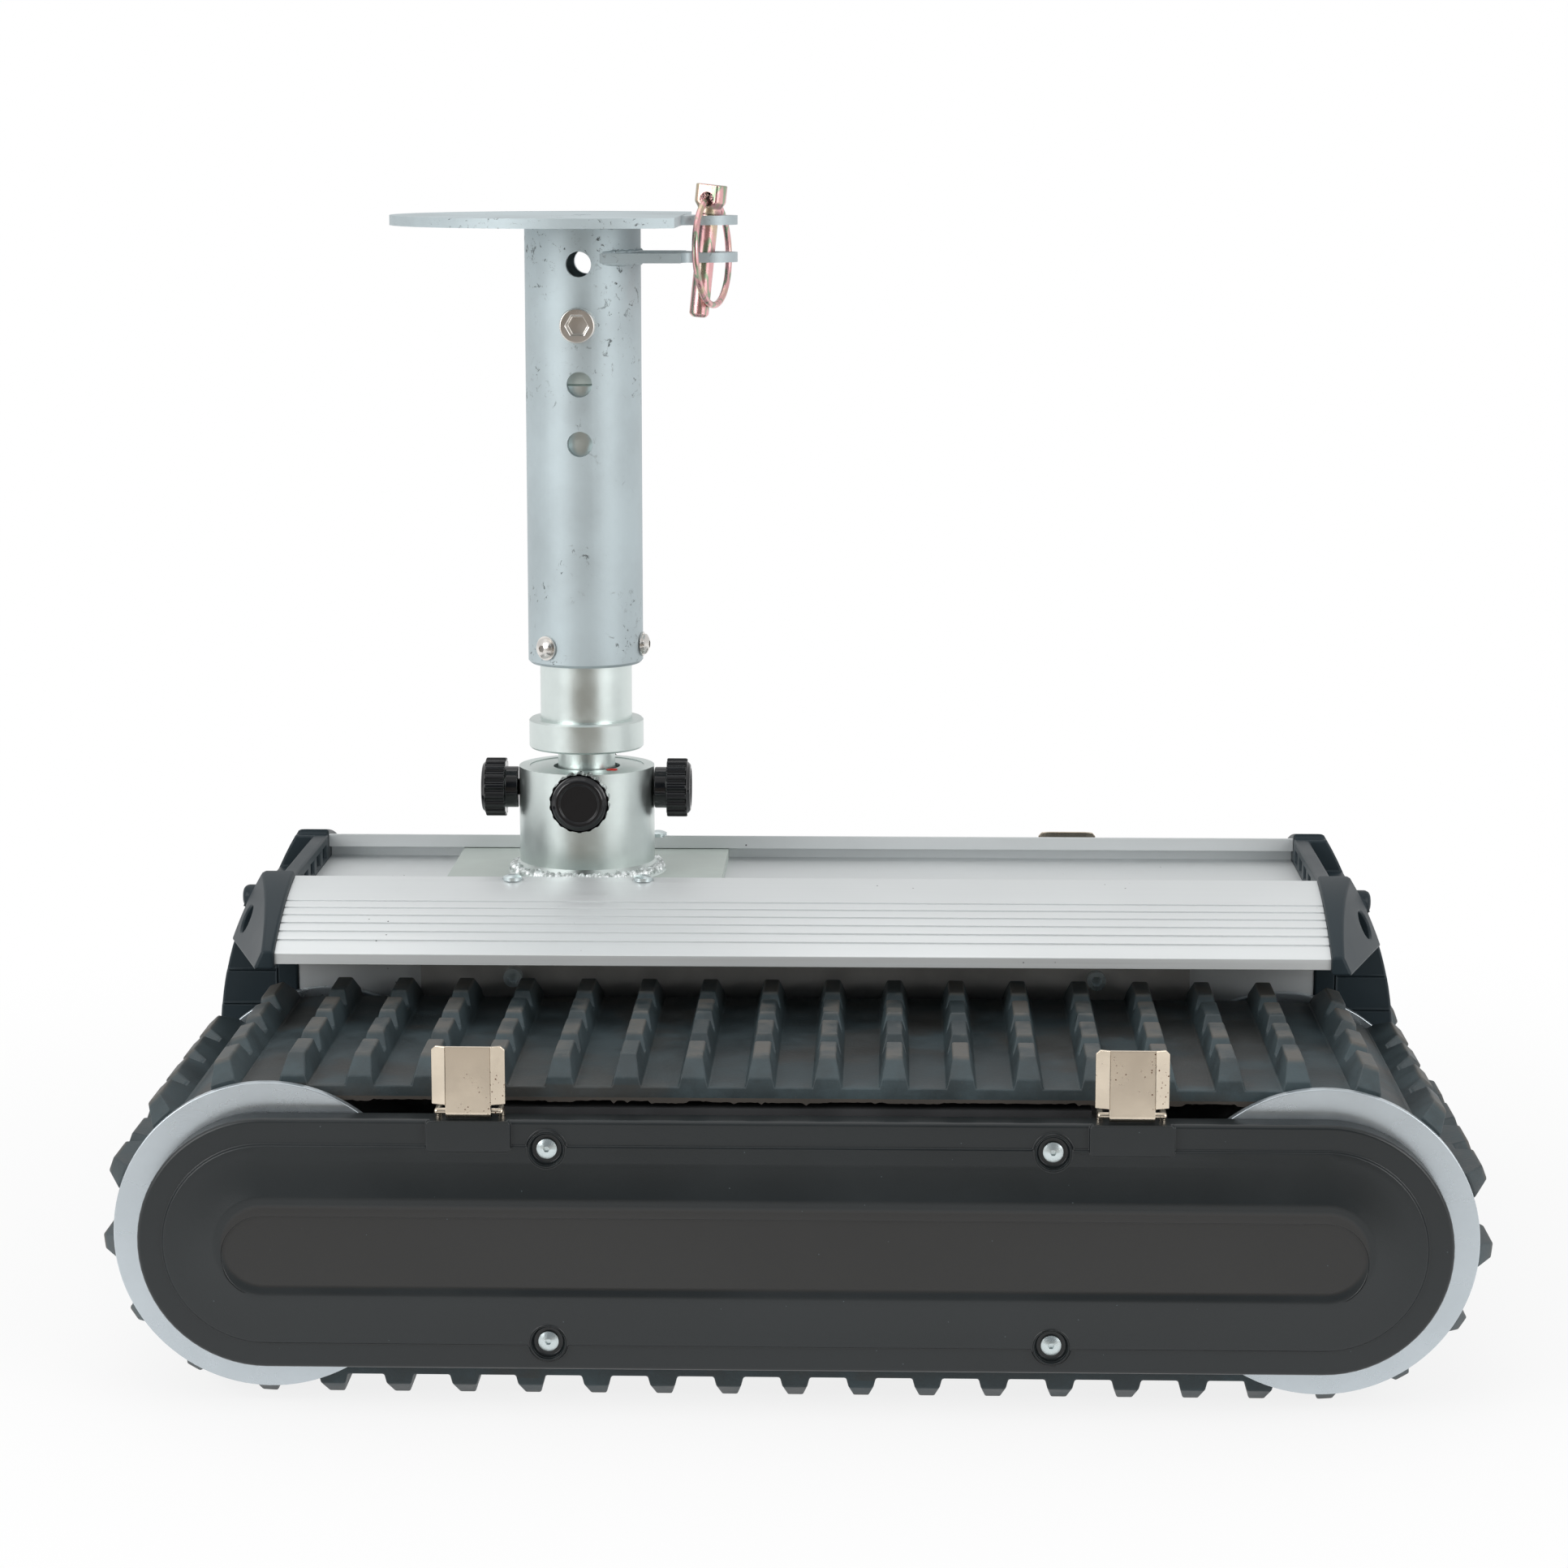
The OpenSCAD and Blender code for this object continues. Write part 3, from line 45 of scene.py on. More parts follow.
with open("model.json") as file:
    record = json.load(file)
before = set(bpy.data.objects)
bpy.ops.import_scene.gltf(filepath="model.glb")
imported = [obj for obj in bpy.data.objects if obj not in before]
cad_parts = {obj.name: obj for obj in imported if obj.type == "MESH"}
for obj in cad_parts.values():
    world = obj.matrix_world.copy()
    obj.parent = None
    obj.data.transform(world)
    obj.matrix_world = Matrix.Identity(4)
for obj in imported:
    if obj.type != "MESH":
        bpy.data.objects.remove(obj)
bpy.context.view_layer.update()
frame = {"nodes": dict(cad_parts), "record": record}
NODES = frame["nodes"]
BODIES = frame["record"]["behaviour"]["bodies"]
BODY_OF = {node: body for body, nodes in BODIES.items() for node in nodes}

MM = 0.001
FULL_TURN = 2 * math.pi
ENDS = ("front", "rear")
SIDES = ("left", "right")
WAYS = ("front", "right", "rear", "left")

# Points closer than this are one point, and faces that differ by less than this angle are one flat face
MERGE_DISTANCE = 1e-6
FLAT_ANGLE = 0.0008

# Mast: its axis and radius, and the solids that its welds and paint sit on
TUBE_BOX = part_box("mast_tube")
EAR_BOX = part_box("lower_ear")
PLATE_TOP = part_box("top_plate")[1].z
CARTRIDGE_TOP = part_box("bearing_cartridge")[1].z
MAST_X = (TUBE_BOX[0].x + TUBE_BOX[1].x) / 2
TUBE_R = (TUBE_BOX[1].x - TUBE_BOX[0].x) / 2
HUB_R = 35.5 * MM
BASE_PLATE = 6 * MM
BASE_PLATE_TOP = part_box("mast_socket")[0].z + BASE_PLATE

# Tracks: the line between the axles, and radii round it
BELT_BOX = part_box("front_belt")
BELT_EDGE = -BELT_BOX[0].y
AXLE_Z = (BELT_BOX[0].z + BELT_BOX[1].z) / 2
CREST_R = (BELT_BOX[1].z - BELT_BOX[0].z) / 2
HALF_BASE = (BELT_BOX[1].x - BELT_BOX[0].x) / 2 - CREST_R
LUG_HEIGHT = 12.5 * MM
BELT_THICK = 6 * MM
VALLEY_R = CREST_R - LUG_HEIGHT
INNER_R = VALLEY_R - BELT_THICK
RECESS_R = 19.5 * MM

# Distance from the middle beyond which a track frame is its slider beam and no longer its plate; the beam
# wears the dark paint, which there is painted shade between the belt and the cover
PLATE_FACE = 60.5 * MM

# Weld beads: how finely they are made, and their thickness as shares of the bead's radius
BEAD_SIDES = 12
BEAD_STEP = 0.5 * MM
BEAD_FEWEST_STEPS = 24
BEAD_LEAST = 0.72
BEAD_RIPPLE = 0.30
BEAD_SWAY = 0.34
BEAD_GRIT = 0.30
BEAD_TIP = 0.35

# Weld beads: pace of the unevenness for each radian and each side, and of the growth from a tip
SWAY_RATE = 11
GRIT_RATE = 34
GRIT_SIDE_RATE = 1.3
TIP_RATE = 8.0

# Torn belt edge: length of a step, bare ends, and the shares of steps with a new depth or a spike
TEAR_STEP = 1.6 * MM
TEAR_MARGIN = 4 * MM
NEW_TEAR = 0.16
SPIKE = 0.04

# Torn belt edge: depths as shares of the deepest tear
FIRST_TEAR = 0.5
TEAR_DEPTHS = (0.15, 0.75)
SPIKE_DEPTHS = (0.6, 1.0)
TEAR_JITTER = 0.08

# Stage: the floor's reach, the place that the lamps aim at and the camera's sensor
FLOOR_HALF = 8.0
FLOOR_FRONT = -0.95
FLOOR_LEVEL = -0.3 * MM
LAMP_AIM = Vector((0.0, 0.0, 0.2))
SENSOR_WIDTH = 36.0

# Studio walls: Y of the directions between which they open to the front, and Z between which the room cools
OPEN_FRONT = (-0.70, -0.88)
ROOM_RISE = (0.02, 0.16)


def colour(name, description, default):
    return FloatVectorProperty(
        name=name, description=description, default=default, subtype="COLOR", min=0, max=1)


def length(name, description, default):
    return FloatProperty(
        name=name, description=description, default=default, min=0, unit="LENGTH", precision=4)


def power(name, description, default):
    return FloatProperty(name=name, description=description, default=default, min=0, unit="POWER")


def degrees(name, description, value):
    return FloatProperty(name=name, description=description, default=math.radians(value), subtype="ANGLE")


class MoverColours(bpy.types.PropertyGroup):
    """Colours of the mover's finishes"""

    aluminium: colour("Aluminium", "Satin anodised body extrusion and tray", (0.74, 0.765, 0.77))
    tube: colour("Mast tube", "Satin galvanised tube, plate and ears", (0.51, 0.585, 0.61))
    turned: colour("Turned steel", "Bright zinc on the hub, swivel post and axles", (0.735, 0.805, 0.785))
    base_plate: colour("Base plate", "Dull zinc on the base plate and the inner plug", (0.55, 0.61, 0.575))
    disc: colour("Discs", "Bright zinc on the tracks' side discs", (0.60, 0.66, 0.70))
    stainless: colour("Stainless", "Mast bolts, body screws and bearings", (0.80, 0.775, 0.74))
    screw: colour("Screws", "Bright screws of covers, base plate and frames", (0.68, 0.76, 0.77))
    nickel: colour("Nickel", "Latches and their pins", (0.76, 0.665, 0.54))
    rust: colour("Rust", "Specks on the latches", (0.13, 0.055, 0.025))
    yellow_zinc: colour("Yellow zinc", "Locking pin and ring", (0.62, 0.52, 0.36))
    pink_zinc: colour("Pink zinc", "Reddish sheen of the passivated pin", (0.82, 0.46, 0.47))
    green_zinc: colour("Green zinc", "Greenish sheen of the passivated pin", (0.34, 0.43, 0.30))
    rubber: colour("Rubber", "Track belts", (0.034, 0.051, 0.0575))
    # On the lugs' crests this colour is partly dust and partly a painted highlight; it also tints the
    # rubber crumbs
    dust: colour("Dust", "Worn crests of the lugs", (0.105, 0.100, 0.090))
    dirt: colour("Dirt", "Brown film between the lugs", (0.046, 0.036, 0.028))
    torn_rubber: colour("Torn rubber", "Frayed outer edges of the belts", (0.060, 0.052, 0.044))
    cover: colour("Covers", "Moulded track covers", (0.0135, 0.0170, 0.0185))
    recess: colour("Recess", "Duller floor of the covers' long recess", (0.0195, 0.0195, 0.0188))
    cap: colour("End caps", "Moulded end caps", (0.020, 0.031, 0.038))
    knob: colour("Knobs", "Glossy clamping knobs", (0.007, 0.0075, 0.009))
    frame_plate: colour("Frame plates", "Pale zinc plates behind the belts", (0.52, 0.51, 0.49))
    # Dark paint: on the slider beams it is painted shade in the gap between the belts and the covers
    dark_paint_and_shade: colour("Dark paint", "Carrier plates, slider beams and motors", (0.045, 0.046, 0.048))
    cast: colour("Cast alloy", "Drums, gearboxes, bearing blocks and control unit", (0.48, 0.49, 0.50))
    case: colour("Inner case", "Battery case", (0.07, 0.075, 0.085))
    paint_dab: colour("Paint dab", "Red locking paint beside the shaft", (0.72, 0.035, 0.02))
    backdrop: colour("Backdrop", "Floor and studio walls", (1.0, 1.0, 1.0))
    room_low: colour("Room, low", "Warm light from the open front near the ground", (0.40, 0.35, 0.30))
    room_high: colour("Room, high", "Dim cool light from the open front above that", (0.10, 0.12, 0.14))


class MoverEdges(bpy.types.PropertyGroup):
    """Rounding of the edges"""

    extrusion: length("Extrusion", "Edges of the extruded body and the tray", 0.3 * MM)
    cap: length("End caps", "Edges of the moulded end caps", 1.4 * MM)
    lug: length("Lugs", "Edges of the rubber lugs", 0.9 * MM)
    disc: length("Discs", "Edges of the tracks' side discs", 0.5 * MM)
    pin: length("Pin", "Edges of the locking pin", 0.5 * MM)
    cover: length("Covers", "Edges of the moulded track covers", 0.55 * MM)
    bolt: length("Bolt", "Edges of the height bolt", 0.8 * MM)
    latch: length("Latches", "Edges of the latch sheet", 0.35 * MM)
    knob: length("Knobs", "Edges of the moulded knobs", 0.6 * MM)


class MoverDetails(bpy.types.PropertyGroup):
    """Sizes of welds, torn edges and other small pieces"""

    hub_weld: length("Hub weld", "Radius of the bead at the foot of the hub", 3.2 * MM)
    mast_weld: length("Mast weld", "Radius of the beads at the plate and the ear", 1.4 * MM)
    torn_depth: length("Torn edge", "Deepest tear along the belt's outer edge", 2.4 * MM)
    recess_slope: length("Recess slope", "Width of the soft slope round the covers' long recess", 4.5 * MM)
    dab_size: length("Paint dab", "Size of the dab of locking paint", 2.4 * MM)


class MoverStage(bpy.types.PropertyGroup):
    """Camera and studio light"""

    camera_place: FloatVectorProperty(
        name="Camera place", description="Where the camera stands", default=(0.0452, -2.0523, 0.5901),
        subtype="TRANSLATION", unit="LENGTH")
    camera_yaw: degrees("Camera yaw", "Turn of the camera to the left", 1.6)
    camera_pitch: degrees("Camera pitch", "Tilt of the camera below the horizon", 9.35)
    focal: FloatProperty(
        name="Focal length", description="Lens on a 36 mm sensor", default=90.76, min=1, unit="CAMERA")
    ambient: FloatProperty(name="Ambient", description="Strength of the studio walls", default=0.72, min=0)
    overhead: power("Overhead light", "Power of the overhead softbox", 6)
    key: power("Left light", "Power of the softbox on the left", 17)
    fill: power("Right light", "Power of the softbox on the right", 13)


class Nodes:
    """A node tree that is filled node by node"""

    def __init__(self, tree):
        self.tree = tree
        self.tree.nodes.clear()

    def node(self, kind, inputs=(), **settings):
        """New node, with each of its inputs set to a value or linked to another node's output"""
        made = self.tree.nodes.new(kind)
        for setting, value in settings.items():
            setattr(made, setting, value)
        for socket, value in dict(inputs).items():
            self.feed(made.inputs[socket], value)
        return made

    def feed(self, socket, value):
        if isinstance(value, bpy.types.NodeSocket):
            self.tree.links.new(value, socket)
        else:
            socket.default_value = value

    def apart(self, place):
        """X, Y and Z of a place"""
        return self.node("ShaderNodeSeparateXYZ", {"Vector": place}).outputs

    def span(self, value, low, high, to_low=0.0, to_high=1.0):
        """Smooth step from to_low at low to to_high at high"""
        inputs = {"Value": value, "From Min": low, "From Max": high, "To Min": to_low, "To Max": to_high}
        return self.node("ShaderNodeMapRange", inputs, interpolation_type="SMOOTHSTEP").outputs["Result"]

    def maths(self, operation, first, second=0.0):
        return self.node("ShaderNodeMath", {0: first, 1: second}, operation=operation).outputs[0]

    def mix(self, amount, first, second):
        """Colour between two others"""
        made = self.node("ShaderNodeMix", data_type="RGBA")
        for socket, value in (("Factor", amount), ("A", first), ("B", second)):
            found = [s for s in made.inputs if s.name == socket and s.enabled][0]
            self.feed(found, value)
        return [s for s in made.outputs if s.enabled][0]

    def blend(self, amount, first, second):
        """Shader between two others"""
        return self.node("ShaderNodeMixShader", {0: amount, 1: first, 2: second}).outputs["Shader"]


class Finish(Nodes):
    """A material; places are read in the CAD frame, in metres"""

    def __init__(self, name, metallic=0.0, shine=0.5):
        self.material = bpy.data.materials.new(name)
        self.material.use_nodes = True
        super().__init__(self.material.node_tree)
        constants = {"Metallic": metallic, "Specular IOR Level": shine}
        self.shader = self.node("ShaderNodeBsdfPrincipled", constants)
        self.output = self.node("ShaderNodeOutputMaterial", {"Surface": self.shader.outputs["BSDF"]})
        self.place = self.node("ShaderNodeTexCoord").outputs["Object"]

    def stretched(self, scale):
        return self.node("ShaderNodeMapping", {"Vector": self.place, "Scale": scale}).outputs["Vector"]

    def noise(self, scale, detail=4.0, roughness=0.5, distortion=0.0, place=None):
        inputs = {"Vector": place or self.place, "Scale": scale, "Detail": detail, "Roughness": roughness,
                  "Distortion": distortion}
        return self.node("ShaderNodeTexNoise", inputs).outputs["Fac"]

    def cells(self, scale):
        """Distance from the middle of the nearest of many scattered cells, one cell being 1"""
        return self.node("ShaderNodeTexVoronoi", {"Vector": self.place, "Scale": scale}).outputs["Distance"]

    def reach(self):
        """Distance from the line between a track's axles"""
        place = self.apart(self.place)
        beyond = self.maths("SUBTRACT", self.maths("ABSOLUTE", place["X"]), HALF_BASE)
        along = self.maths("POWER", self.maths("MAXIMUM", beyond), 2.0)
        rise = self.maths("POWER", self.maths("SUBTRACT", place["Z"], AXLE_Z), 2.0)
        return self.maths("SQRT", self.maths("ADD", along, rise))

    def clouded(self, cloud, base, dark, light, low=0.3, high=0.7):
        """A colour that drifts with the clouds, from dark to light times itself"""
        return self.mix(self.span(cloud, low, high), tone(base, dark), tone(base, light))

    def paint(self, value):
        self.feed(self.shader.inputs["Base Color"], value)

    def rough(self, value):
        self.feed(self.shader.inputs["Roughness"], value)

    def bump(self, height, distance):
        inputs = {"Height": height, "Distance": distance, "Strength": 1.0}
        self.feed(self.shader.inputs["Normal"], self.node("ShaderNodeBump", inputs).outputs["Normal"])


def tone(base, factor=1.0):
    """The same colour, lighter or darker, as a node socket takes it"""
    return tuple(min(1.0, channel * factor) for channel in base) + (1.0,)


def anodised_finish(colours):
    """Satin aluminium, drawn in fine lines along the extrusion, with a few dark specks"""
    finish = Finish("anodised_aluminium", metallic=0.55)
    lines = finish.noise(1.0, detail=3.0, place=finish.stretched((4, 900, 900)))
    near = finish.span(finish.cells(170.0), 0.09, 0.06)
    cluster = finish.span(finish.noise(24.0), 0.60, 0.68)
    specks = finish.maths("MULTIPLY", near, cluster)
    satin = finish.clouded(finish.noise(7.0), colours.aluminium, 0.96, 1.02)
    finish.paint(finish.mix(specks, satin, tone(colours.aluminium, 0.12)))
    finish.rough(finish.span(lines, 0.25, 0.75, 0.38, 0.50))
    finish.bump(lines, 0.03 * MM)
    return finish.material


def galvanised_finish(colours):
    """Satin zinc with cloudy patches and small dark scuffs, most of them near the tube's ends"""
    finish = Finish("galvanised_tube", metallic=0.62)
    cloud = finish.noise(16.0, detail=5.0, roughness=0.6)
    height = finish.apart(finish.place)["Z"]
    face_top = PLATE_TOP - 0.3 * MM
    face_foot = PLATE_TOP - 0.8 * MM
    tube_top = TUBE_BOX[1].z
    tube_foot = TUBE_BOX[0].z
    below_face = finish.span(height, face_top, face_foot)
    near_top = finish.span(height, tube_top - 26 * MM, tube_top - 8 * MM, 0.0, 0.09)
    near_foot = finish.span(height, tube_foot + 36 * MM, tube_foot + 6 * MM, 0.0, 0.09)
    cleaner_face = finish.span(height, face_top, face_foot, -0.04, 0.0)
    head = finish.maths("MULTIPLY", near_top, below_face)
    ends = finish.maths("ADD", finish.maths("MAXIMUM", head, near_foot), cleaner_face)
    spread = finish.maths("ADD", finish.noise(23.0, detail=3.0), ends)
    scuff = finish.span(finish.noise(210.0, detail=9.0, roughness=0.74, distortion=0.8), 0.575, 0.625)
    worn = finish.maths("MULTIPLY", scuff, finish.span(spread, 0.50, 0.62))
    zinc = finish.clouded(cloud, colours.tube, 0.90, 1.10)
    finish.paint(finish.mix(worn, zinc, tone(colours.tube, 0.16)))
    finish.rough(finish.span(cloud, 0.25, 0.75, 0.46, 0.58))
    finish.bump(finish.noise(600.0, detail=3.0), 0.05 * MM)
    return finish.material


def turned_finish(name, base, low, high, metallic=1.0):
    """Bright zinc over turned steel, with fine grain, dull clouds and a roughness from low to high"""
    finish = Finish(name, metallic=metallic)
    cloud = finish.noise(26.0, roughness=0.6)
    finish.paint(finish.clouded(cloud, base, 0.90, 1.05, high=0.72))
    finish.rough(finish.span(cloud, 0.3, 0.7, low, high))
    finish.bump(finish.noise(900.0, detail=3.0, roughness=0.7), 0.03 * MM)
    return finish.material


def weld_finish(colours):
    """Bright bead with sooty patches"""
    finish = Finish("weld_bead", metallic=0.5)
    clean = finish.span(finish.noise(320.0, detail=5.0, roughness=0.65), 0.40, 0.56)
    finish.paint(finish.mix(clean, tone(colours.turned, 0.55), tone(colours.turned, 1.30)))
    finish.rough(finish.span(clean, 0.0, 1.0, 0.45, 0.24))
    finish.bump(finish.noise(620.0, roughness=0.6), 0.5 * MM)
    return finish.material


def nickel_finish(colours):
    """Warm nickel plate with clustered rust specks"""
    finish = Finish("nickel_plate", metallic=1.0)
    cloud = finish.noise(60.0)
    near = finish.span(finish.cells(520.0), 0.26, 0.14)
    cluster = finish.span(finish.noise(75.0, detail=3.0), 0.52, 0.62)
    speck = finish.maths("MULTIPLY", near, cluster)
    plate = finish.clouded(cloud, colours.nickel, 0.93, 1.07)
    finish.paint(finish.mix(speck, plate, tone(colours.rust)))
    finish.rough(finish.span(speck, 0.0, 1.0, 0.27, 0.7))
    finish.bump(cloud, 0.03 * MM)
    return finish.material


def yellow_zinc_finish(colours):
    """Passivated zinc that shades from gold into pink, with green streaks"""
    finish = Finish("yellow_zinc", metallic=1.0)
    along = finish.stretched((150, 150, 34))
    drift = finish.noise(1.0, detail=1.0, roughness=0.4, distortion=0.3, place=along)
    warm = finish.mix(finish.span(drift, 0.30, 0.48), tone(colours.yellow_zinc), tone(colours.pink_zinc))
    streak = finish.maths("MULTIPLY", finish.span(drift, 0.52, 0.57), finish.span(drift, 0.64, 0.59))
    finish.paint(finish.mix(streak, warm, tone(colours.green_zinc)))
    finish.rough(finish.span(finish.noise(300.0), 0.3, 0.7, 0.24, 0.36))
    finish.bump(finish.noise(800.0), 0.02 * MM)
    return finish.material


def rubber_finish(colours):
    """Dull rubber, lighter on the crests of the lugs with dust and a painted highlight, and soiled between
    them
    """
    finish = Finish("track_rubber")
    reach = finish.reach()
    crest = finish.span(reach, CREST_R - 2.0 * MM, CREST_R - 0.2 * MM)
    valley = finish.span(reach, VALLEY_R + 1.5 * MM, VALLEY_R + 0.5 * MM)
    patches = finish.noise(28.0, detail=6.0, roughness=0.65)
    stains = finish.span(finish.noise(17.0, detail=5.0), 0.47, 0.60, 0.0, 0.5)
    crumbs = finish.span(finish.noise(420.0, detail=5.0, roughness=0.7), 0.60, 0.72)
    # Crests: lighter partly with dust and partly as a painted highlight on the lugs
    worn = finish.maths("MULTIPLY", crest, finish.span(patches, 0.38, 0.62))
    film = finish.clouded(patches, colours.rubber, 0.75, 1.45, low=0.35, high=0.68)
    soiled = finish.mix(finish.maths("MULTIPLY", valley, stains), film, tone(colours.dirt))
    dust_and_highlight = finish.mix(worn, soiled, tone(colours.dust))
    finish.paint(finish.mix(finish.maths("MULTIPLY", crumbs, 0.35), dust_and_highlight, tone(colours.dust, 0.9)))
    finish.rough(finish.span(patches, 0.3, 0.7, 0.44, 0.62))
    finish.bump(finish.noise(520.0, detail=5.0, roughness=0.6), 0.16 * MM)
    return finish.material


def moulded_finish(name, base, low, high, shine=0.5, grain=0.03 * MM, recess=None, slope=0.0):
    """Moulded plastic with a fine grain, a few dust specks and a roughness from low to high

    A recess colour gives the track covers' long recess a floor of that colour, with a soft slope round it.
    """
    finish = Finish(name, shine=shine)
    cloud = finish.noise(12.0)
    dust = finish.span(finish.cells(110.0), 0.034, 0.026)
    shade = finish.clouded(cloud, base, 0.92, 1.10)
    relief = finish.maths("MULTIPLY", finish.noise(2400.0, detail=2.0), grain)
    if recess is not None:
        reach = finish.reach()
        inside = finish.span(reach, RECESS_R + 1.0 * MM, RECESS_R - 1.0 * MM)
        shade = finish.mix(inside, shade, tone(recess))
        bank = finish.span(reach, RECESS_R - 0.3 * slope, RECESS_R + slope, 0.0, 1.0 * MM)
        relief = finish.maths("ADD", bank, relief)
    finish.paint(finish.mix(dust, shade, tone(base, 5.0)))
    finish.rough(finish.span(cloud, 0.3, 0.7, low, high))
    finish.bump(relief, 1.0)
    return finish.material


def painted_finish(name, base, metallic, rough):
    """Plain coat with a little cloud and orange peel"""
    finish = Finish(name, metallic=metallic)
    cloud = finish.noise(30.0)
    finish.paint(finish.clouded(cloud, base, 0.88, 1.10))
    finish.rough(finish.span(cloud, 0.3, 0.7, rough - 0.06, rough + 0.06))
    finish.bump(finish.noise(500.0, detail=3.0), 0.05 * MM)
    return finish.material


def backdrop_finish(colours):
    """Pale floor that keeps a soft shadow near the mover and fades to the white of the walls"""
    finish = Finish("studio_floor", shine=0.0)
    finish.paint(tone(colours.backdrop, 0.9))
    finish.rough(0.9)
    rays = finish.node("ShaderNodeLightPath").outputs
    seen = finish.maths("MAXIMUM", rays["Is Camera Ray"], rays["Is Glossy Ray"])
    away = finish.node("ShaderNodeVectorMath", {0: finish.place}, operation="LENGTH").outputs["Value"]
    fade = finish.span(away, 0.35, 0.95, 0.84, 1.0)
    glow = finish.node("ShaderNodeEmission", {"Color": tone(colours.backdrop), "Strength": 1.0})
    amount = finish.maths("MULTIPLY", seen, fade)
    floor = finish.blend(amount, finish.shader.outputs["BSDF"], glow.outputs["Emission"])
    finish.feed(finish.output.inputs["Surface"], floor)
    return finish.material


FINISHES = {}


def finishes():
    """Every finish by name, made once"""
    if not FINISHES:
        colours = bpy.context.scene.mover_colours
        slope = bpy.context.scene.mover_details.recess_slope
        FINISHES.update({
            "aluminium": anodised_finish(colours),
            "tube": galvanised_finish(colours),
            "turned": turned_finish("turned_steel", colours.turned, 0.28, 0.42),
            "base_plate": turned_finish("dull_zinc", colours.base_plate, 0.45, 0.58, 0.4),
            "disc": turned_finish("zinc_disc", colours.disc, 0.22, 0.36, 0.8),
            "stainless": turned_finish("stainless", colours.stainless, 0.20, 0.32),
            "screw": turned_finish("zinc_screw", colours.screw, 0.22, 0.32, 0.8),
            "weld": weld_finish(colours),
            "nickel": nickel_finish(colours),
            "yellow_zinc": yellow_zinc_finish(colours),
            "rubber": rubber_finish(colours),
            "torn_rubber": painted_finish("torn_rubber", colours.torn_rubber, 0.0, 0.8),
            "cover": moulded_finish(
                "cover_plastic", colours.cover, 0.28, 0.36, recess=colours.recess, slope=slope),
            "cap": moulded_finish("cap_plastic", colours.cap, 0.34, 0.44, shine=0.22),
            "knob": moulded_finish("knob_plastic", colours.knob, 0.08, 0.13, grain=0.002 * MM),
            "frame_plate": painted_finish("frame_zinc", colours.frame_plate, 0.6, 0.45),
            # On the slider beams this dark paint is painted shade between the belt and the cover
            "dark_paint_and_shade": painted_finish("dark_paint_and_shade", colours.dark_paint_and_shade, 0.0, 0.45),
            "cast": painted_finish("cast_alloy", colours.cast, 0.9, 0.42),
            "case": painted_finish("inner_case", colours.case, 0.0, 0.5),
            "paint_dab": painted_finish("paint_dab", colours.paint_dab, 0.0, 0.35),
            "backdrop": backdrop_finish(colours),
        })
    return FINISHES


def new_piece(name, mesh, body, finish):
    """An added piece that rides on a body"""
    piece = bpy.data.objects.new(name, mesh)
    bpy.context.scene.collection.objects.link(piece)
    mesh.materials.append(finishes()[finish])
    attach(piece, body)
    return piece


def mesh_from(bm, name, turn_out=True, smooth=True):
    """Mesh of a finished bmesh, with its faces turned outwards where asked"""
    if turn_out:
        bmesh.ops.recalc_face_normals(bm, faces=bm.faces)
    for face in bm.faces:
        face.smooth = smooth
    mesh = bpy.data.meshes.new(name)
    bm.to_mesh(mesh)
    bm.free()
    return mesh


def loft(bm, rings, closed=False):
    """Skin over rings of equally many points, capped at both ends unless it closes on itself"""
    pairs = list(zip(rings, rings[1:]))
    if closed:
        pairs.append((rings[-1], rings[0]))
    for first, second in pairs:
        for j in range(len(first)):
            k = (j + 1) % len(first)
            bm.faces.new((first[j], first[k], second[k], second[j]))
    if not closed:
        bm.faces.new(rings[0])
        bm.faces.new(rings[-1])


def dress(node, finish, edge, segments=2, angle=30.0):
    """Copy of a CAD node with rounded edges, which stands for the node"""
    bm = bmesh.new()
    bm.from_mesh(NODES[node].data)
    bmesh.ops.remove_doubles(bm, verts=bm.verts, dist=MERGE_DISTANCE)
    bmesh.ops.dissolve_limit(bm, angle_limit=FLAT_ANGLE, verts=bm.verts, edges=bm.edges)
    mesh = mesh_from(bm, f"{node}_dressed", turn_out=False)
    piece = new_piece(f"{node}_dressed", mesh, BODY_OF[node], finish)
    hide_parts(node)
    rounding = piece.modifiers.new("edges", "BEVEL")
    rounding.width = edge
    rounding.segments = segments
    rounding.limit_method = "ANGLE"
    rounding.angle_limit = math.radians(angle)
    rounding.use_clamp_overlap = False
    shading = piece.modifiers.new("shading", "WEIGHTED_NORMAL")
    shading.keep_sharp = False


def two_tone(node, finish, other, is_other):
    """Plain copy of a CAD node that wears another finish on the faces whose points pass a test"""
    mesh = NODES[node].data.copy()
    mesh.name = f"{node}_twin"
    mesh.materials.clear()
    piece = new_piece(f"{node}_twin", mesh, BODY_OF[node], finish)
    mesh.materials.append(finishes()[other])
    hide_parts(node)
    for face in mesh.polygons:
        points = [mesh.vertices[v].co for v in face.vertices]
        face.material_index = 1 if is_other(points) else 0


def coat(node, finish):
    """Gives a CAD node that stays as it is its finish"""
    mesh = NODES[node].data
    mesh.materials.clear()
    mesh.materials.append(finishes()[finish])


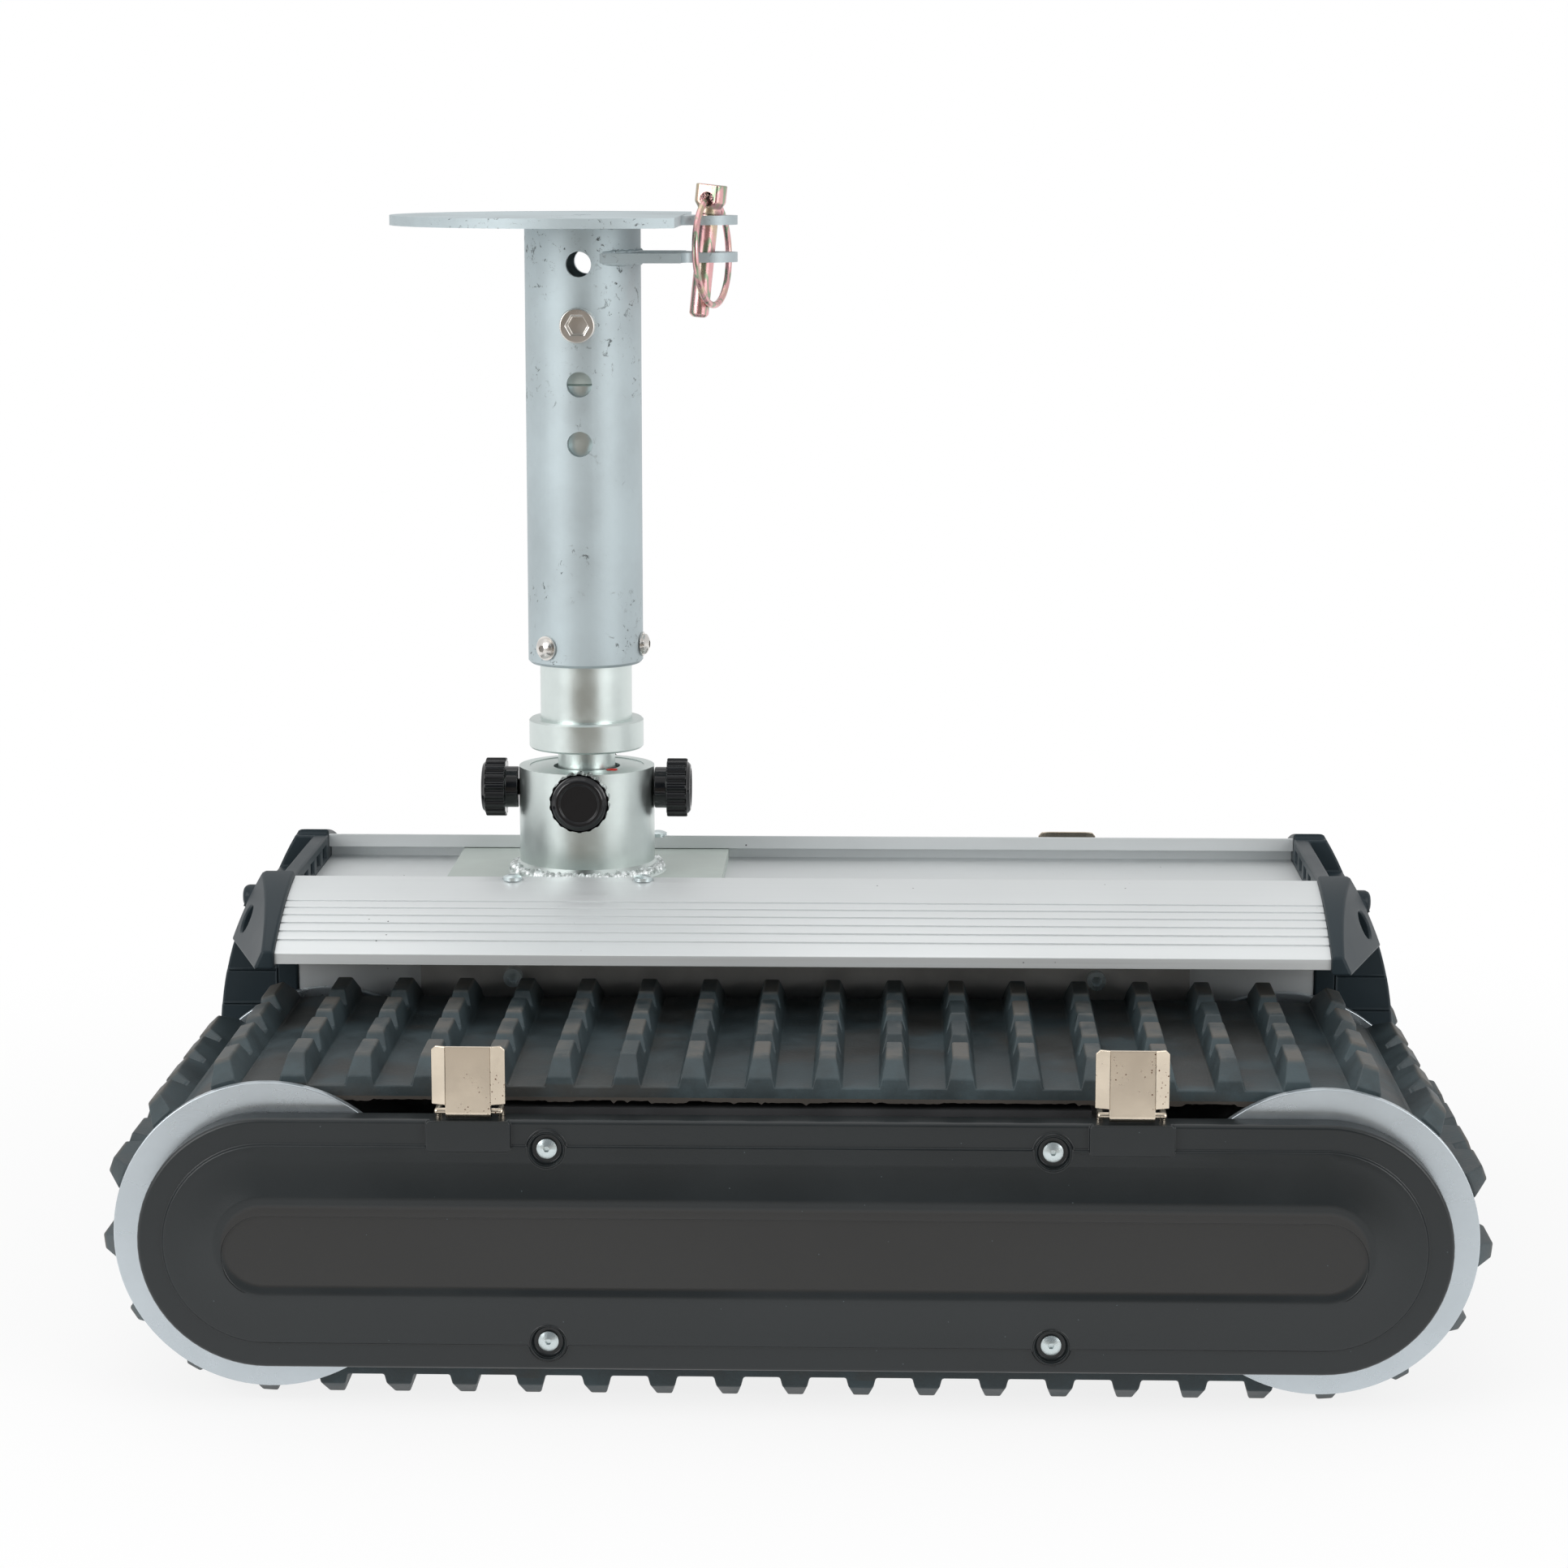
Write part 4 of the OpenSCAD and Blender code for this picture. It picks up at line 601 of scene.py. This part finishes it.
def bead_mesh(name, ring_r, height, size, start, end, ripples, seed):
    """Weld bead that runs round the mast's axis between two angles, with the ripples of the torch"""
    steps = max(BEAD_FEWEST_STEPS, int((end - start) * ring_r / BEAD_STEP))
    closed = math.isclose(end - start, FULL_TURN)
    bm = bmesh.new()
    rings = []
    for i in range(steps if closed else steps + 1):
        angle = start + (end - start) * i / steps
        ripple = BEAD_RIPPLE * abs(math.sin(ripples * angle / 2))
        sway = BEAD_SWAY * noise.noise((SWAY_RATE * angle, seed, 0.0))
        taper = 1.0 if closed else min(1.0, BEAD_TIP + TIP_RATE * min(i, steps - i) / steps)
        thick = size * (BEAD_LEAST + ripple + sway) * taper
        ring = []
        for j in range(BEAD_SIDES):
            turn = FULL_TURN * j / BEAD_SIDES
            grit = 1.0 + BEAD_GRIT * noise.noise((GRIT_RATE * angle, GRIT_SIDE_RATE * j, seed))
            out = ring_r + thick * grit * math.cos(turn)
            up = height + thick * grit * math.sin(turn)
            ring.append(bm.verts.new((MAST_X + out * math.cos(angle), out * math.sin(angle), up)))
        rings.append(ring)
    loft(bm, rings, closed)
    return mesh_from(bm, name)


class MOVER_OT_body(bpy.types.Operator):
    """Anodised body extrusion and bottom tray"""

    bl_idname = "mover.body"
    bl_label = "Body"

    def execute(self, context):
        edges = context.scene.mover_edges
        dress("body_extrusion", "aluminium", edges.extrusion)
        dress("bottom_tray", "aluminium", edges.extrusion)
        coat("body_screws", "stainless")
        return {"FINISHED"}


class MOVER_OT_end_caps(bpy.types.Operator):
    """Moulded end caps with their hand-holds"""

    bl_idname = "mover.end_caps"
    bl_label = "End caps"

    def execute(self, context):
        for side in SIDES:
            dress(f"end_cap_{side}", "cap", context.scene.mover_edges.cap, segments=3, angle=24.0)
        return {"FINISHED"}


class MOVER_OT_belts(bpy.types.Operator):
    """Rubber belts with rounded lugs and torn outer edges"""

    bl_idname = "mover.belts"
    bl_label = "Belts"

    def execute(self, context):
        for end in ENDS:
            dress(f"{end}_belt", "rubber", context.scene.mover_edges.lug)
            for run, up in (("upper", 1), ("lower", -1)):
                self.torn_edge(end, run, up, context.scene.mover_details.torn_depth)
        return {"FINISHED"}

    def torn_edge(self, end, run, up, depth):
        """Ragged flash of rubber along the inner corner of the belt's outer side"""
        name = f"{end}_{run}_torn_edge"
        start = -HALF_BASE + TEAR_MARGIN
        count = int(2 * (HALF_BASE - TEAR_MARGIN) / TEAR_STEP)
        facing = -1 if end == "front" else 1
        root = AXLE_Z + up * INNER_R
        outer = 0.25 * MM
        lip = 0.35 * MM
        inner = -0.6 * MM
        overlap = 0.9 * MM
        draws = random.Random(f"{end} {run}")
        bm = bmesh.new()
        columns = []
        tear = FIRST_TEAR
        for i in range(count + 1):
            if draws.random() < NEW_TEAR:
                tear = draws.uniform(*TEAR_DEPTHS)
            spike = draws.uniform(*SPIKE_DEPTHS) if draws.random() < SPIKE else tear
            hang = depth * min(1.0, max(TEAR_JITTER, spike + draws.uniform(-TEAR_JITTER, TEAR_JITTER)))
            along = start + i * TEAR_STEP
            corners = ((outer, overlap), (lip, -hang), (inner, -hang), (inner, overlap))
            columns.append([
                bm.verts.new((along, facing * (BELT_EDGE + side), root + up * rise))
                for side, rise in corners
            ])
        loft(bm, columns)
        mesh = mesh_from(bm, name, smooth=False)
        new_piece(name, mesh, "chassis", "torn_rubber")


class MOVER_OT_wheels(bpy.types.Operator):
    """Drums, bright side discs, axles and bearings of the tracks"""

    bl_idname = "mover.wheels"
    bl_label = "Wheels"

    def execute(self, context):
        for end in ENDS:
            for wheel in ("drive", "idle"):
                dress(f"{end}_{wheel}_flanges", "disc", context.scene.mover_edges.disc)
                coat(f"{end}_{wheel}_drum", "cast")
                coat(f"{end}_{wheel}_axle", "turned")
            coat(f"{end}_bearings", "stainless")
            coat(f"{end}_bearing_blocks", "cast")
        return {"FINISHED"}


class MOVER_OT_covers(bpy.types.Operator):
    """Moulded track covers with their screws"""

    bl_idname = "mover.covers"
    bl_label = "Covers"

    def execute(self, context):
        for end in ENDS:
            dress(f"{end}_cover", "cover", context.scene.mover_edges.cover)
        coat("cover_screws", "screw")
        return {"FINISHED"}


class MOVER_OT_latches(bpy.types.Operator):
    """Nickel-plated latches on their pins"""

    bl_idname = "mover.latches"
    bl_label = "Latches"

    def execute(self, context):
        for end in ENDS:
            for side in SIDES:
                dress(f"{end}_latch_{side}", "nickel", context.scene.mover_edges.latch)
            coat(f"{end}_latch_pins", "nickel")
        return {"FINISHED"}


class MOVER_OT_track_frames(bpy.types.Operator):
    """Track frames, outer carrier plates and the bolts of the frames"""

    bl_idname = "mover.track_frames"
    bl_label = "Track frames"

    def execute(self, context):
        for end in ENDS:
            # The slider beam's faces take the dark paint as painted shade in the gap between the belt and
            # the cover
            two_tone(f"{end}_track_frame", "frame_plate", "dark_paint_and_shade", self.on_beam)
            coat(f"{end}_carrier_plate", "dark_paint_and_shade")
        coat("frame_bolts", "screw")
        return {"FINISHED"}

    def on_beam(self, points):
        return max(abs(point.y) for point in points) > PLATE_FACE


class MOVER_OT_mast_base(bpy.types.Operator):
    """Welded hub on its base plate, with the bearing cartridge and its dab of locking paint"""

    bl_idname = "mover.mast_base"
    bl_label = "Mast base"

    def execute(self, context):
        details = context.scene.mover_details
        two_tone("mast_socket", "turned", "base_plate", self.on_plate)
        coat("bearing_cartridge", "turned")
        coat("socket_screws", "screw")
        self.hub_weld(details.hub_weld)
        self.paint_dab(details.dab_size)
        return {"FINISHED"}

    def on_plate(self, points):
        return max(point.z for point in points) < BASE_PLATE_TOP + 0.1 * MM

    def hub_weld(self, size):
        """Bead in the corner between the hub and its base plate"""
        ring_r = HUB_R + 2.2 * MM
        height = BASE_PLATE_TOP + 1.6 * MM
        mesh = bead_mesh("hub_weld", ring_r, height, size, 0.0, FULL_TURN, ripples=74, seed=3.0)
        new_piece("hub_weld", mesh, "chassis", "weld")

    def paint_dab(self, size):
        """Flat uneven drop of paint on the cartridge, beside the shaft"""
        shape = Vector((1.3, 0.8, 0.22))
        place = Vector((MAST_X + 14.6 * MM, -14.2 * MM, CARTRIDGE_TOP + 0.2 * MM))
        bm = bmesh.new()
        bmesh.ops.create_icosphere(bm, subdivisions=3, radius=1.0)
        for vert in bm.verts:
            uneven = 1.0 + 0.45 * noise.noise(vert.co * 1.7)
            vert.co = vert.co * shape * uneven * size
        bmesh.ops.translate(bm, verts=bm.verts, vec=place)
        new_piece("paint_dab", mesh_from(bm, "paint_dab"), "chassis", "paint_dab")


class MOVER_OT_mast(bpy.types.Operator):
    """Swivel post, mast tube, top plate, lower ear, their welds and screws"""

    bl_idname = "mover.mast"
    bl_label = "Mast"

    def execute(self, context):
        coat("swivel_post", "turned")
        for node in ("mast_tube", "top_plate", "lower_ear"):
            coat(node, "tube")
        coat("inner_plug", "base_plate")
        dress("height_bolt", "stainless", context.scene.mover_edges.bolt)
        for node in ("height_nut", "guide_screws"):
            coat(node, "stainless")
        self.welds(context.scene.mover_details.mast_weld)
        return {"FINISHED"}

    def welds(self, size):
        """Beads under the top plate, and above and below the lower ear, galvanised with the tube"""
        ring_r = TUBE_R - 0.2 * MM
        ear_half = math.radians(66)
        beads = (
            ("plate_weld", TUBE_BOX[1].z - 0.6 * MM, 0.0, FULL_TURN, 40, 5.0),
            ("ear_weld_top", EAR_BOX[1].z + 0.3 * MM, -ear_half, ear_half, 30, 7.0),
            ("ear_weld_foot", EAR_BOX[0].z - 0.3 * MM, -ear_half, ear_half, 30, 11.0),
        )
        for name, height, start, end, ripples, seed in beads:
            mesh = bead_mesh(name, ring_r, height, size, start, end, ripples, seed)
            new_piece(name, mesh, "mast", "tube")


class MOVER_OT_knobs(bpy.types.Operator):
    """Fluted clamping knobs"""

    bl_idname = "mover.knobs"
    bl_label = "Knobs"

    def execute(self, context):
        for way in WAYS:
            dress(f"knob_{way}", "knob", context.scene.mover_edges.knob)
        return {"FINISHED"}


class MOVER_OT_locking_pin(bpy.types.Operator):
    """Yellow-passivated locking pin and its ring"""

    bl_idname = "mover.locking_pin"
    bl_label = "Locking pin"

    def execute(self, context):
        dress("locking_pin", "yellow_zinc", context.scene.mover_edges.pin)
        coat("pin_ring", "yellow_zinc")
        return {"FINISHED"}


class MOVER_OT_insides(bpy.types.Operator):
    """Battery, control unit, motors and gearboxes inside the body"""

    bl_idname = "mover.insides"
    bl_label = "Insides"

    def execute(self, context):
        coat("battery", "case")
        coat("control_unit", "cast")
        for end in ENDS:
            coat(f"{end}_motor", "dark_paint_and_shade")
            coat(f"{end}_gearbox", "cast")
        return {"FINISHED"}


class MOVER_OT_stage(bpy.types.Operator):
    """Pale floor, studio walls, soft lights and the camera"""

    bl_idname = "mover.stage"
    bl_label = "Stage"

    def execute(self, context):
        scene = context.scene
        settings = scene.mover_stage
        scene.view_settings.view_transform = "Standard"
        self.floor(scene)
        self.walls(scene, settings.ambient)
        self.softbox(scene, "overhead", place=(-0.35, 0.15, 2.0), size=1.7, watts=settings.overhead)
        self.softbox(scene, "left", place=(-1.5, -1.5, 1.0), size=1.2, watts=settings.key)
        self.softbox(scene, "right", place=(1.6, -1.4, 0.9), size=1.2, watts=settings.fill)
        self.camera(scene, settings)
        return {"FINISHED"}

    def floor(self, scene):
        """Wide sheet just below the ground line, which ends in front of the mover"""
        outline = (
            (-FLOOR_HALF, FLOOR_FRONT),
            (FLOOR_HALF, FLOOR_FRONT),
            (FLOOR_HALF, FLOOR_HALF),
            (-FLOOR_HALF, FLOOR_HALF),
        )
        bm = bmesh.new()
        bm.faces.new([bm.verts.new((x, y, FLOOR_LEVEL)) for x, y in outline])
        mesh = mesh_from(bm, "floor")
        mesh.materials.append(finishes()["backdrop"])
        floor = bpy.data.objects.new("floor", mesh)
        scene.collection.objects.link(floor)

    def walls(self, scene, ambient):
        """Pale studio walls with a dim open front, and plain white where the camera looks past the mover

        The room in the open front is warm near the ground, and darker and cooler above it.
        """
        colours = scene.mover_colours
        white = tone(colours.backdrop)
        world = bpy.data.worlds.new("studio")
        world.use_nodes = True
        scene.world = world
        nodes = Nodes(world.node_tree)
        way = nodes.apart(nodes.node("ShaderNodeTexCoord").outputs["Generated"])
        front = nodes.span(way["Y"], *OPEN_FRONT)
        rise = nodes.span(way["Z"], *ROOM_RISE)
        room = nodes.mix(rise, tone(colours.room_low), tone(colours.room_high))
        studio = {"Color": nodes.mix(front, white, room), "Strength": ambient}
        lit = nodes.node("ShaderNodeBackground", studio).outputs["Background"]
        shown = nodes.node("ShaderNodeBackground", {"Color": white}).outputs["Background"]
        seen = nodes.node("ShaderNodeLightPath").outputs["Is Camera Ray"]
        nodes.node("ShaderNodeOutputWorld", {"Surface": nodes.blend(seen, lit, shown)})

    def softbox(self, scene, name, place, size, watts):
        """Square lamp that faces the mover"""
        light = bpy.data.lights.new(name, "AREA")
        light.size = size
        light.energy = watts
        lamp = bpy.data.objects.new(name, light)
        scene.collection.objects.link(lamp)
        lamp.location = place
        lamp.rotation_euler = (LAMP_AIM - lamp.location).to_track_quat("-Z", "Y").to_euler()

    def camera(self, scene, settings):
        data = bpy.data.cameras.new("camera")
        data.sensor_width = SENSOR_WIDTH
        data.lens = settings.focal
        camera = bpy.data.objects.new("camera", data)
        scene.collection.objects.link(camera)
        camera.location = settings.camera_place
        camera.rotation_euler = (math.pi / 2 - settings.camera_pitch, 0.0, settings.camera_yaw)
        scene.camera = camera


class MOVER_PT_panel(bpy.types.Panel):
    """Buttons for the mover's pieces"""

    bl_idname = "MOVER_PT_panel"
    bl_label = "Caravan mover"
    bl_space_type = "VIEW_3D"
    bl_region_type = "UI"
    bl_category = "Mover"

    def draw(self, context):
        for operator in OPERATORS:
            self.layout.operator(operator.bl_idname)


GROUPS = {
    "mover_colours": MoverColours,
    "mover_edges": MoverEdges,
    "mover_details": MoverDetails,
    "mover_stage": MoverStage,
}
OPERATORS = (
    MOVER_OT_body, MOVER_OT_end_caps, MOVER_OT_belts, MOVER_OT_wheels, MOVER_OT_covers, MOVER_OT_latches,
    MOVER_OT_track_frames, MOVER_OT_mast_base, MOVER_OT_mast, MOVER_OT_knobs, MOVER_OT_locking_pin,
    MOVER_OT_insides, MOVER_OT_stage,
)
CLASSES = (*GROUPS.values(), *OPERATORS, MOVER_PT_panel)


def register():
    for cls in CLASSES:
        bpy.utils.register_class(cls)
    for name, group in GROUPS.items():
        setattr(bpy.types.Scene, name, PointerProperty(type=group))


def unregister():
    for name in GROUPS:
        delattr(bpy.types.Scene, name)
    for cls in reversed(CLASSES):
        bpy.utils.unregister_class(cls)


def main():
    register()
    bpy.ops.mover.body()
    bpy.ops.mover.end_caps()
    bpy.ops.mover.belts()
    bpy.ops.mover.wheels()
    bpy.ops.mover.covers()
    bpy.ops.mover.latches()
    bpy.ops.mover.track_frames()
    bpy.ops.mover.mast_base()
    bpy.ops.mover.mast()
    bpy.ops.mover.knobs()
    bpy.ops.mover.locking_pin()
    bpy.ops.mover.insides()
    bpy.ops.mover.stage()


if __name__ == "__main__":
    main()
